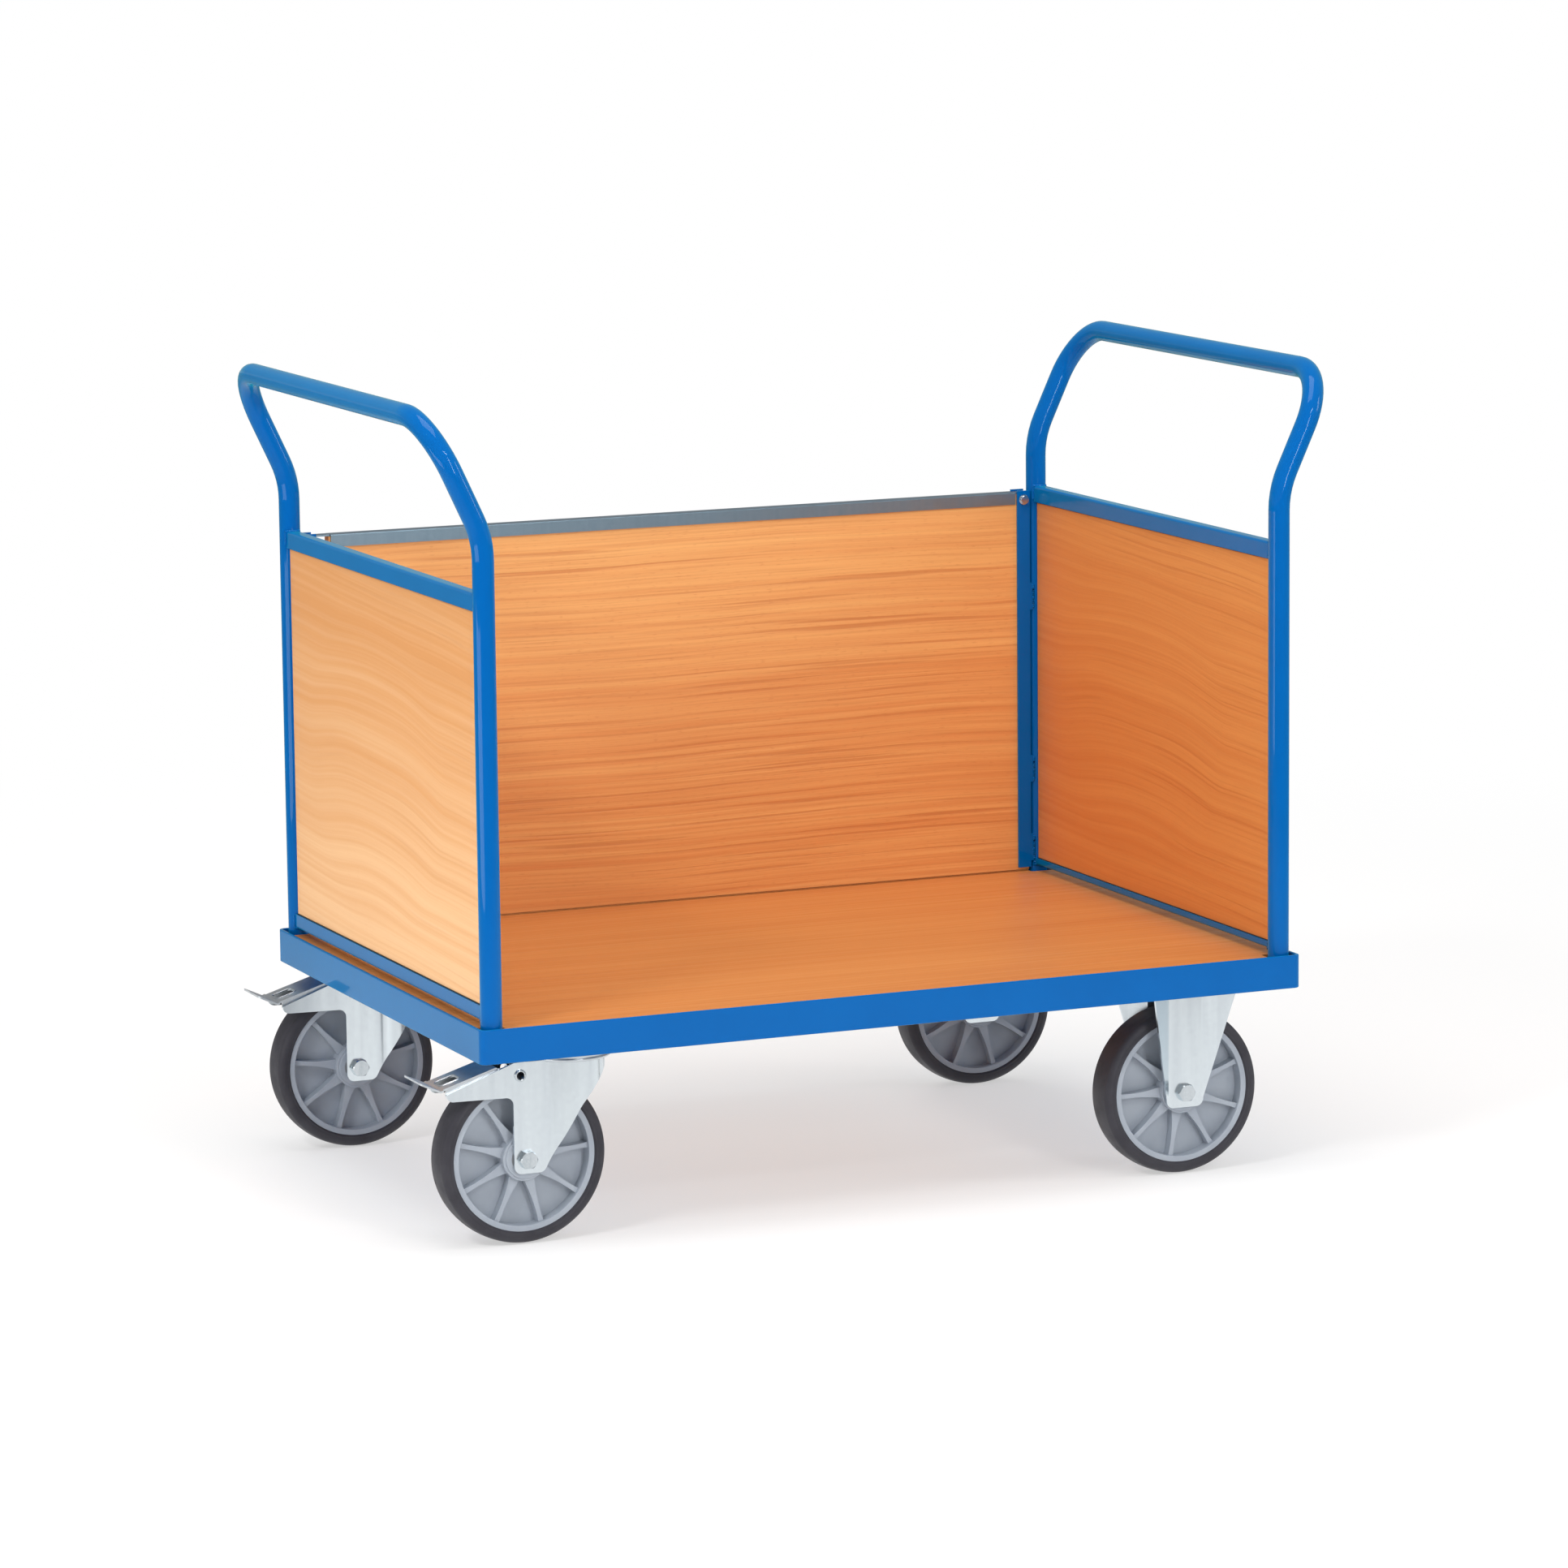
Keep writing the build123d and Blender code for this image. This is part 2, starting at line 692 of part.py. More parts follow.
def about_pivot(x, z, angle):
    """A point turned about the pedal's pivot, tip up for positive angles."""
    dx, dz = x + pivot_back, z - pivot_z
    c, s = cos(radians(angle)), sin(radians(angle))
    return dx * c + dz * s - pivot_back, dz * c - dx * s + pivot_z


def brake_shoe():
    """The pad under the pedal: tangent to the tyre, a gap off it, with the pedal pressed down."""
    reach = wheel_radius + shoe_gap
    rise = sqrt(reach**2 - shoe_reach**2)
    slope = (rise / reach, shoe_reach / reach)
    ends = [
        about_pivot(-shoe_reach + t * slope[0], axle_z + rise + t * slope[1], pedal_travel)
        for t in (-shoe_half_length, shoe_half_length)
    ]
    tops = [(x, pedal_height(-x) - pedal_wall / 2) for x, z in reversed(ends)]
    return side_slab(outline(ends + tops), -shoe_half_width, shoe_half_width)


def brake_pedal():
    """A sloping plate with a wide upturned tip, a slot, two side flanges and the shoe."""
    upper = [
        (-pedal_inner_end, pedal_height(pedal_inner_end)),
        (-pedal_tip_end, pedal_height(pedal_tip_end)),
        (-tab_end, wheel_top - tab_drop),
    ]
    lower = [(x, z - pedal_wall) for x, z in reversed(upper)]
    half_plan = [
        (-pedal_inner_end, pedal_half_width),
        (-pedal_tip_start, pedal_half_width),
        (-pedal_tip_start, pedal_tip_half_width),
        (-tab_end, pedal_tip_half_width),
    ]
    half_rounds = [0, 0, 0, tab_round]
    plan = outline(
        half_plan + [(x, -y) for x, y in reversed(half_plan)], half_rounds + list(reversed(half_rounds))
    )
    slot = Pos(-(slot_start + slot_end) / 2, 0) * RectangleRounded(
        slot_end - slot_start, 2 * slot_half_width, slot_round
    )
    sheet = side_slab(outline(upper + lower), -pedal_tip_half_width, pedal_tip_half_width)
    pedal = sheet & extrude(plan - slot, castor_height)
    tip = pedal_height(pedal_flange_end) - pedal_wall / 2
    flange = outline([
        (-pedal_flange_end, tip),
        (-pedal_inner_end, pedal_height(pedal_inner_end) - pedal_wall / 2),
        (-pivot_back, pivot_z + pivot_eye_radius),
        (-pivot_back, pivot_z - pivot_eye_radius),
        (-pedal_flange_end, tip - pedal_flange_depth),
    ]) + Pos(-pivot_back, pivot_z) * Circle(pivot_eye_radius)
    flange -= Pos(-pivot_back, pivot_z) * Circle(rivet_radius + running_fit)
    pedal += side_slab(flange, pedal_flange_inner, pedal_half_width)
    pedal += side_slab(flange, -pedal_half_width, -pedal_flange_inner)
    return pedal + brake_shoe()


def brake_rivets():
    """Two hollow stub rivets that the pedal turns on, one in each leg."""
    inner = pedal_flange_inner - pedal_side_gap - rivet_head_wall
    outer = fork_outer + rivet_head_wall
    rivets = []
    for side in (-1, 1):

        def bar(radius, a, b):
            return across(radius, -pivot_back, pivot_z, *between(side, a, b))

        rivets.append(
            bar(rivet_radius, inner, outer)
            + bar(rivet_head_radius, inner, inner + rivet_head_wall)
            + bar(rivet_head_radius, fork_outer, outer)
            - bar(rivet_bore, inner, outer)
        )
    return group(rivets)


def axle_bolt():
    """An axle bolt through the legs with its nut."""
    tail = fork_outer + axle_nut_height + axle_stick_out
    bolt = across(axle_radius, 0, axle_z, -fork_outer, tail) + hexagon_across(
        axle_flats, 0, axle_z, -fork_outer - axle_head, -fork_outer
    )
    nut = hexagon_across(axle_flats, 0, axle_z, fork_outer, fork_outer + axle_nut_height) - across(
        axle_radius + thread_fit, 0, axle_z, fork_outer, tail
    )
    return [bolt, nut]


def axle_sleeve():
    """The spacer between the legs that the bushes run on."""
    return across(sleeve_radius, 0, axle_z, -fork_inner, fork_inner) - across(
        axle_radius + sleeve_fit, 0, axle_z, -fork_inner, fork_inner
    )


def fixed_fork():
    """A fixed castor's plate and its two legs, whose edges flare outward towards the plate."""
    fork = castor_plate()
    z_low = axle_z - fixed_flare_drop
    tab = outline(
        [
            (-fixed_leg_half_width, axle_z - fixed_leg_drop),
            (fixed_leg_half_width, axle_z - fixed_leg_drop),
            (fixed_leg_half_width, z_low),
            (-fixed_leg_half_width, z_low),
        ],
        [fixed_bottom_round, fixed_bottom_round, 0, 0],
    )

    def section(half, flare, z):
        edge, bend = fork_outer + flare, fixed_flat_half_width
        outer = [(-half, edge), (-bend, fork_outer), (bend, fork_outer), (half, edge)]
        inner = [(x, y - fork_wall) for x, y in reversed(outer)]
        return make_face(Polyline(*[(x, y, z) for x, y in outer + inner], close=True))

    foot = section(fixed_leg_half_width, 0, z_low)
    head = section(fixed_top_half_width, plate_width / 2 - fixed_edge_margin - fork_outer, plate_bottom)
    leg = side_slab(tab, fork_inner, fork_outer) + loft([foot, head], ruled=True)
    fork += leg
    fork += mirror(leg, Plane.XZ)
    return fork - across(axle_radius + sleeve_fit, 0, axle_z, -fork_outer, fork_outer)


def wheel_core(phase):
    """Hub, web, rim and flared ribs of a wheel, about its own middle."""
    bore = bush_radius + bush_fit
    half_profile = [
        (bore, hub_half),
        (hub_radius - hub_step_width, hub_half),
        (hub_radius - hub_step_width, hub_half - hub_step_depth),
        (hub_radius, hub_half - hub_step_depth),
        (hub_radius, web_half_wall),
        (rim_inner, web_half_wall),
        (rim_inner, rim_half),
        (rim_radius, rim_half),
    ]
    half_rounds = [0, hub_round, 0, hub_round, 0, 0, rim_round, 0]
    profile = outline(
        half_profile + [(r, -y) for r, y in reversed(half_profile)],
        half_rounds + list(reversed(half_rounds)),
    )
    core = revolve(profile, Axis.Y)
    start, stop = hub_radius - hub_round, rim_inner + rim_depth / 2
    waist = start + (stop - start) * rib_neck_place
    upper = [
        SagittaArc((start, rib_hub_spread), (waist, rib_neck), -rib_hub_sag),
        SagittaArc((waist, rib_neck), (stop, rib_rim_spread), -rib_rim_sag),
    ]
    lower = [mirror(edge, Plane.XZ) for edge in upper]
    ends = ((start, rib_hub_spread), (stop, rib_rim_spread))
    caps = [Line((x, -spread), (x, spread)) for x, spread in ends]
    rib = side_slab(make_face(upper + lower + caps), rib_recess - rim_half, rim_half - rib_recess)
    return core + [Rot(0, -phase - 360 * i / rib_count, 0) * rib for i in range(rib_count)]


def tyre():
    """A rounded solid tyre on the rim, about its own middle."""
    half = tyre_width / 2
    foot = rim_radius + tyre_bond_gap
    shoulder = wheel_radius - tyre_crown - tyre_shoulder
    tread_half = half - tyre_shoulder
    edge = wheel_radius - tyre_crown
    corner = tyre_shoulder * (1 - sqrt(0.5))
    lines = [
        Line((foot, rim_half), (foot, -rim_half)),
        Line((foot, -rim_half), (foot + tyre_foot_inset, -half)),
        Line((foot + tyre_foot_inset, -half), (shoulder, -half)),
        ThreePointArc((shoulder, -half), (edge - corner, corner - half), (edge, -tread_half)),
        ThreePointArc((edge, -tread_half), (wheel_radius, 0), (edge, tread_half)),
        ThreePointArc((edge, tread_half), (edge - corner, half - corner), (shoulder, half)),
        Line((shoulder, half), (foot + tyre_foot_inset, half)),
        Line((foot + tyre_foot_inset, half), (foot, rim_half)),
    ]
    return revolve(make_face(lines), Axis.Y)


def wheel_bushes():
    """Two flanged bushes in the hub, about the wheel's middle."""
    bore = sleeve_radius + running_fit
    face = hub_half + bush_flange_wall
    profile = outline([
        (bore, face), (bush_flange_radius, face), (bush_flange_radius, hub_half), (bush_radius, hub_half),
        (bush_radius, hub_half - bush_length), (bore, hub_half - bush_length),
    ])
    bush = revolve(profile, Axis.Y)
    return group([bush, mirror(bush, Plane.XZ)])


def swivel_castor(corner, y):
    """The nodes of one swivel castor that turn with its fork, and its plate."""
    place = Pos(swivel_axle_x, y, 0)
    stem = Pos(swivel_x, y, 0)
    return {
        f"{corner}_swivel_plate": stem * swivel_plate(),
        f"{corner}_swivel_fork": place * swivel_fork(),
        f"{corner}_swivel_balls": stem * swivel_balls(),
        f"{corner}_axle_bolt": place * group(axle_bolt()),
        f"{corner}_axle_sleeve": place * axle_sleeve(),
        f"{corner}_brake_pedal": place * brake_pedal(),
        f"{corner}_brake_rivets": place * brake_rivets(),
    }


def wheel(corner, x, y):
    """The nodes of one wheel."""
    place = Pos(x, y, axle_z)
    return {
        f"{corner}_wheel_core": place * wheel_core(rib_phases[corner]),
        f"{corner}_tyre": place * tyre(),
        f"{corner}_wheel_bushes": place * wheel_bushes(),
    }


def trolley():
    """Every node of the trolley by name."""
    nodes = {**frame_rails(), **cross_plates(), "deck_board": deck_board(), "deck_screws": deck_screws()}
    for name, side in (("left", -1), ("right", 1)):
        nodes[f"{name}_handle"] = handle(side)
        nodes.update({f"{name}_{piece}": shape for piece, shape in end_wall(side).items()})
        nodes[f"{name}_guides"] = guides(side)
    nodes.update({"back_panel": back_panel(), "back_channel": back_channel()})
    nodes.update({**wall_fasteners(), **castor_fasteners()})
    rows = {"front": -castor_y, "rear": castor_y}
    for row, y in rows.items():
        nodes.update(swivel_castor(f"{row}_left", y))
        nodes.update(wheel(f"{row}_left", swivel_axle_x, y))
        nodes[f"{row}_right_fixed_fork"] = Pos(fixed_axle_x, y, 0) * fixed_fork()
        nodes.update(wheel(f"{row}_right", fixed_axle_x, y))
    stems = [Pos(swivel_x, y, 0) for y in rows.values()]
    fixed = [Pos(fixed_axle_x, y, 0) for y in rows.values()]
    nodes["swivel_king_pins"] = group(stem * king_pin() for stem in stems)
    nodes["swivel_lower_races"] = group(stem * lower_race() for stem in stems)
    nodes["fixed_axle_bolts"] = group(place * piece for place in fixed for piece in axle_bolt())
    nodes["fixed_axle_sleeves"] = group(place * axle_sleeve() for place in fixed)
    return nodes


os.makedirs("parts", exist_ok=True)
for node, shape in trolley().items():
    export_step(shape, f"parts/{node}.step")
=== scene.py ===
import logging
import math
from dataclasses import dataclass, replace
from enum import Enum
from typing import Any, ClassVar

import bmesh
import bpy
from mathutils import Matrix, Vector


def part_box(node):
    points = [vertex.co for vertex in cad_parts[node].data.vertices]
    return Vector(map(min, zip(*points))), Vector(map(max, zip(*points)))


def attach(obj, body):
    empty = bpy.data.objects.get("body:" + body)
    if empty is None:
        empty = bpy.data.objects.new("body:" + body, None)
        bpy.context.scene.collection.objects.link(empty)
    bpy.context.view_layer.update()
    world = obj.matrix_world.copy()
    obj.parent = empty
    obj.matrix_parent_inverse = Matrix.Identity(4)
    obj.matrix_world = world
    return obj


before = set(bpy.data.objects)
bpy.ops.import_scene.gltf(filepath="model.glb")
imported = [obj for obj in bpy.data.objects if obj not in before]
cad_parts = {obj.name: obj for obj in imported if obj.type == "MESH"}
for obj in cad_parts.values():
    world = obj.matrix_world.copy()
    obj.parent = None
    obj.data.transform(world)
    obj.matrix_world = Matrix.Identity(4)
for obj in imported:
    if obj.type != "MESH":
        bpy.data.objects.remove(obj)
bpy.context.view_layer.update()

log = logging.getLogger("trolley")
Colour = tuple[float, float, float, float]
Profile = tuple[tuple[float, float], ...]
Socket = bpy.types.NodeSocket

WHITE: Colour = (1.0, 1.0, 1.0, 1.0)
SCREEN_STEPS = 255
STRAIGHT_UP_TO = 0.04045
STRAIGHT_SLOPE = 12.92
CURVE_OFFSET = 0.055
CURVE_POWER = 2.4


def srgb(red: int, green: int, blue: int) -> Colour:
    """Turn screen steps of 0 to 255 into the linear colour that shaders take.

    Args:
        red: Red step.
        green: Green step.
        blue: Blue step.

    Returns:
        The linear colour with full alpha.
    """
    linear = []
    for share in (step / SCREEN_STEPS for step in (red, green, blue)):
        if share <= STRAIGHT_UP_TO:
            linear.append(share / STRAIGHT_SLOPE)
        else:
            linear.append(((share + CURVE_OFFSET) / (1.0 + CURVE_OFFSET)) ** CURVE_POWER)
    return (*linear, 1.0)


class Wiring:
    """Short calls that add nodes to one tree and join them."""

    MIX_FIRST, MIX_SECOND, MIX_RESULT = 6, 7, 2

    def __init__(self, tree: bpy.types.NodeTree) -> None:
        """Keep the tree that the nodes go into."""
        self.tree = tree

    def node(self, kind: str, **settings: Any) -> bpy.types.Node:
        """Add a node.

        Args:
            kind: Blender's name for the node type.
            settings: Properties to set on it.

        Returns:
            The new node.
        """
        made = self.tree.nodes.new(kind)
        for key, value in settings.items():
            setattr(made, key, value)
        return made

    def feed(self, target: Socket, source: Any) -> None:
        """Join a socket to an input, or set the input to a plain value.

        Args:
            target: The input.
            source: A socket or a value.
        """
        if isinstance(source, Socket):
            self.tree.links.new(source, target)
        else:
            target.default_value = source

    def math(self, operation: str, *terms: Any, clamp: bool = False) -> Socket:
        """Add a math node.

        Args:
            operation: Blender's name for the operation.
            terms: Sockets or numbers, in order.
            clamp: Keep the result from 0 to 1.

        Returns:
            The result socket.
        """
        made = self.node("ShaderNodeMath", operation=operation, use_clamp=clamp)
        for target, term in zip(made.inputs, terms):
            self.feed(target, term)
        return made.outputs[0]

    def times(self, *terms: Any) -> Socket:
        """Multiply two terms, and add a third where there is one."""
        return self.math("MULTIPLY" if len(terms) == 2 else "MULTIPLY_ADD", *terms)

    def span(self, value: Socket, low: float, high: float, start: float = 0.0, end: float = 1.0) -> Socket:
        """Map a range smoothly onto another.

        Args:
            value: The value to map.
            low: Where the range starts.
            high: Where the range ends.
            start: Result at the low end.
            end: Result at the high end.

        Returns:
            The mapped value.
        """
        made = self.node("ShaderNodeMapRange", interpolation_type="SMOOTHSTEP")
        for target, term in zip(made.inputs, (value, low, high, start, end)):
            self.feed(target, term)
        return made.outputs[0]

    def mix(self, factor: Any, first: Any, second: Any) -> Socket:
        """Mix two colours.

        Args:
            factor: How much of the second.
            first: Colour at 0.
            second: Colour at 1.

        Returns:
            The mixed colour.
        """
        made = self.node("ShaderNodeMix", data_type="RGBA", blend_type="MIX")
        self.feed(made.inputs[0], factor)
        self.feed(made.inputs[self.MIX_FIRST], first)
        self.feed(made.inputs[self.MIX_SECOND], second)
        return made.outputs[self.MIX_RESULT]

    def stretch(self, where: Socket, scale: tuple[float, float, float]) -> Socket:
        """Scale coordinates by a different amount along each axis.

        Args:
            where: Coordinates.
            scale: Factor along each axis.

        Returns:
            The scaled coordinates.
        """
        made = self.node("ShaderNodeVectorMath", operation="MULTIPLY")
        self.feed(made.inputs[0], where)
        made.inputs[1].default_value = scale
        return made.outputs[0]

    def noise(self, where: Socket, scale: Any, detail: float = 2.0, rough: float = 0.5) -> Socket:
        """Add a noise texture.

        Args:
            where: Coordinates.
            scale: Cells to the metre.
            detail: Octaves.
            rough: How much each octave counts.

        Returns:
            The noise value, about 0.5 in the mean.
        """
        made = self.node("ShaderNodeTexNoise")
        self.feed(made.inputs["Vector"], where)
        self.feed(made.inputs["Scale"], scale)
        made.inputs["Detail"].default_value = detail
        made.inputs["Roughness"].default_value = rough
        return made.outputs[0]

    def place(self) -> Socket:
        """The piece's own coordinates in metres."""
        return self.node("ShaderNodeTexCoord").outputs["Object"]

    def rays(self) -> tuple[Socket, Socket]:
        """Whether a ray comes from the camera, and whether it comes from a reflection."""
        path = self.node("ShaderNodeLightPath").outputs
        return self.math("MAXIMUM", path["Is Camera Ray"], path["Is Transmission Ray"]), path["Is Glossy Ray"]

    def effect(self, group: bpy.types.NodeTree, **values: Any) -> bpy.types.Node:
        """Place a shared effect.

        Args:
            group: The effect's node group.
            values: Its inputs by name, with spaces written as underscores.

        Returns:
            The group node, whose outputs carry the effect.
        """
        made = self.node("ShaderNodeGroup", node_tree=group)
        for key, value in values.items():
            self.feed(made.inputs[key.replace("_", " ").capitalize()], value)
        return made


def blank_material(name: str) -> tuple[bpy.types.Material, Wiring, bpy.types.Node]:
    """Make a plain material.

    Args:
        name: Its name.

    Returns:
        The material, its wiring and its surface shader.
    """
    made = bpy.data.materials.new(name)
    made.use_nodes = True
    return made, Wiring(made.node_tree), made.node_tree.nodes["Principled BSDF"]


@dataclass(frozen=True)
class Layer:
    """A layer of noise with cells of a different length along each axis.

    Attributes:
        cells: Cells to the metre along X, Y and Z.
        detail: Octaves.
        rough: How much each octave counts.
    """

    cells: tuple[float, float, float]
    detail: float = 1.0
    rough: float = 0.5

    def lay(self, w: Wiring, where: Socket) -> Socket:
        """Add the layer's noise to a tree."""
        return w.noise(w.stretch(where, self.cells), 1.0, self.detail, self.rough)


class EffectGroup:
    """A node group under construction, with named inputs and outputs."""

    KINDS = {"value": "NodeSocketFloat", "colour": "NodeSocketColor", "vector": "NodeSocketVector"}

    def __init__(self, name: str, inputs: dict[str, str], outputs: dict[str, str]) -> None:
        """Make the empty group.

        Args:
            name: The effect's name.
            inputs: Kind of each input by name.
            outputs: Kind of each output by name.
        """
        self.tree = bpy.data.node_groups.new(name, "ShaderNodeTree")
        for side, sockets in (("INPUT", inputs), ("OUTPUT", outputs)):
            for key, kind in sockets.items():
                self.tree.interface.new_socket(key, in_out=side, socket_type=self.KINDS[kind])
        self.wiring = Wiring(self.tree)
        self.inputs = self.wiring.node("NodeGroupInput").outputs
        self.outputs = self.wiring.node("NodeGroupOutput").inputs


class Effects:
    """The effects that several finishes share, each built once.

    A RANGE holds the noise values between which a mask rises from 0 to 1, and a SHARE says how much a
    part counts. RIPPLE_REACH and the half sizes of the arched FIGURE are in metres.
    """

    CLOUD_RANGE = (0.32, 0.68)
    CLOUD_DETAIL, CLOUD_ROUGH = 4.0, 0.6
    FINE_RATIO, FINE_SHARE = 3.7, 0.35

    SWAY = Layer((1.3, 1.9, 1.0), rough=0.4)
    RIPPLE, RIPPLE_REACH = Layer((5.0, 9.0, 1.0)), 0.005
    FIGURE_ALONG, FIGURE_ACROSS = 0.24, 0.20
    BANDS, BAND_RANGE, BAND_SHARE = Layer((0.5, 14.0, 1.0), 2.0, 0.55), (0.15, 0.85), 0.55
    STREAKS, STREAK_RANGE, STREAK_SHARE = Layer((0.9, 120.0, 1.0), 2.0, 0.55), (0.22, 0.78), 0.45
    FIBRES, FIBRE_RANGE, FIBRE_SHARE = Layer((5.0, 420.0, 1.0), 2.0, 0.6), (0.4, 0.72), 0.55
    RAYS, RAY_RANGE, RAY_SHARE = Layer((90.0, 620.0, 1.0), 0.0), (0.66, 0.8), 0.45
    # The glint range picks the growth lines that are painted as highlight lines.
    RINGS, LINE_RANGE, GLINT_RANGE = Layer((2.4, 180.0, 1.0)), (0.56, 0.68), (0.40, 0.30)
    SHOWN, SHOWN_RANGE = Layer((1.6, 7.0, 1.0)), (0.34, 0.60)
    LINE_HEIGHT, FIBRE_HEIGHT = -0.6, -0.4
    SATIN_RANGE, SATIN_ROUGH = (0.3, 0.7), (0.38, 0.48)

    PATCH_CELLS, PATCH_SHARE = 22.0, 0.3
    DRAWN, DRAWN_RANGE, DRAWN_SHARE = Layer((70.0, 70.0, 5.0), 2.0), (0.3, 0.7), 0.5
    FACET_SHARE = 0.2
    TONE_ROUGH, DRAWN_ROUGH, DRAWN_HEIGHT = 0.08, 0.04, 0.3

    def __init__(self) -> None:
        """Build every group."""
        self.mottle = self.make_mottle()
        self.relief = self.make_relief()
        self.beech = self.make_beech()
        self.plating = self.make_plating()

    def make_mottle(self) -> bpy.types.NodeTree:
        """Soft cloudy change between two colours, as paint, rubber and plastic have.

        Returns:
            The group.
        """
        group = EffectGroup(
            "soft_mottle",
            {"Where": "vector", "Scale": "value", "First": "colour", "Second": "colour"},
            {"Colour": "colour", "Mask": "value"},
        )
        w, given = group.wiring, group.inputs
        cloud = w.noise(given["Where"], given["Scale"], self.CLOUD_DETAIL, self.CLOUD_ROUGH)
        mask = w.span(cloud, *self.CLOUD_RANGE)
        w.feed(group.outputs["Mask"], mask)
        w.feed(group.outputs["Colour"], w.mix(mask, given["First"], given["Second"]))
        return group.tree

    def make_relief(self) -> bpy.types.NodeTree:
        """Fine bumps of two sizes, as orange peel or a moulded skin.

        Returns:
            The group.
        """
        group = EffectGroup("fine_relief", {"Where": "vector", "Scale": "value"}, {"Height": "value"})
        w, given = group.wiring, group.inputs
        coarse = w.noise(given["Where"], given["Scale"], detail=1.0)
        fine = w.noise(given["Where"], w.times(given["Scale"], self.FINE_RATIO), detail=1.0)
        w.feed(group.outputs["Height"], w.times(fine, self.FINE_SHARE, coarse))
        return group.tree

    def make_beech(self) -> bpy.types.NodeTree:
        """Beech decor: broad bands, streaks that sway, thin growth lines and fine fibres, with painted
        highlight lines and a painted shade that changes with height.

        Returns:
            The group. Its coordinates run along the grain in X and across it in Y.
        """
        group = EffectGroup(
            "beech_grain",
            {"Where": "vector", "Pale": "colour", "Warm": "colour", "Line": "colour", "Sway": "value",
             "Line depth": "value", "Drift": "value", "Middle": "value", "Tilt": "value", "Figure": "value",
             "Heart": "value"},
            {"Colour": "colour", "Height": "value", "Roughness": "value"},
        )
        w, where, given = group.wiring, group.inputs["Where"], group.inputs
        parts = w.node("ShaderNodeSeparateXYZ")
        w.feed(parts.inputs[0], where)
        along, over = parts.outputs["X"], parts.outputs["Y"]
        aside = w.math("SUBTRACT", along, given["Heart"])
        across = w.math("SUBTRACT", over, given["Middle"])

        bent = w.times(self.SWAY.lay(w, where), given["Sway"], over)
        bent = w.times(self.RIPPLE.lay(w, where), self.RIPPLE_REACH, bent)
        bent = w.times(aside, given["Tilt"], bent)
        round_x = w.math("POWER", w.math("DIVIDE", aside, self.FIGURE_ALONG), 2.0)
        round_y = w.math("POWER", w.math("DIVIDE", across, self.FIGURE_ACROSS), 2.0)
        swirl = w.span(w.math("ADD", round_x, round_y), 0.0, 1.0, 1.0, 0.0)
        bent = w.times(swirl, given["Figure"], bent)
        joined = w.node("ShaderNodeCombineXYZ")
        w.feed(joined.inputs["X"], along)
        w.feed(joined.inputs["Y"], bent)
        flow = joined.outputs[0]

        streaks, fibres, rings = (layer.lay(w, flow) for layer in (self.STREAKS, self.FIBRES, self.RINGS))
        shown = w.span(self.SHOWN.lay(w, flow), *self.SHOWN_RANGE)
        lines = w.times(w.span(rings, *self.LINE_RANGE), shown)
        # Painted highlight: these growth lines are mixed toward the pale colour, as light catching the
        # embossing.
        painted_glints = w.times(w.span(rings, *self.GLINT_RANGE), shown)
        broad = w.times(w.span(self.BANDS.lay(w, flow), *self.BAND_RANGE), self.BAND_SHARE)
        tone = w.times(w.span(streaks, *self.STREAK_RANGE), self.STREAK_SHARE, broad)
        # Painted shade: below the middle the tone is pushed warmer by Drift, and paler where Drift is
        # negative.
        below = w.math("SUBTRACT", given["Middle"], over)
        tone = w.math("MULTIPLY_ADD", below, given["Drift"], tone, clamp=True)
        thin = w.times(w.span(fibres, *self.FIBRE_RANGE), self.FIBRE_SHARE)
        short = w.times(w.span(self.RAYS.lay(w, flow), *self.RAY_RANGE), self.RAY_SHARE)

        colour = w.mix(tone, given["Pale"], given["Warm"])
        # The glints go toward Pale as painted highlights; lines, fibres and rays go toward Line.
        for mask, end in ((painted_glints, "Pale"), (lines, "Line"), (thin, "Line"), (short, "Line")):
            colour = w.mix(w.times(mask, given["Line depth"]), colour, given[end])
        w.feed(group.outputs["Colour"], colour)
        sunk = w.times(fibres, self.FIBRE_HEIGHT)
        w.feed(group.outputs["Height"], w.times(lines, self.LINE_HEIGHT, sunk))
        w.feed(group.outputs["Roughness"], w.span(streaks, *self.SATIN_RANGE, *self.SATIN_ROUGH))
        return group.tree

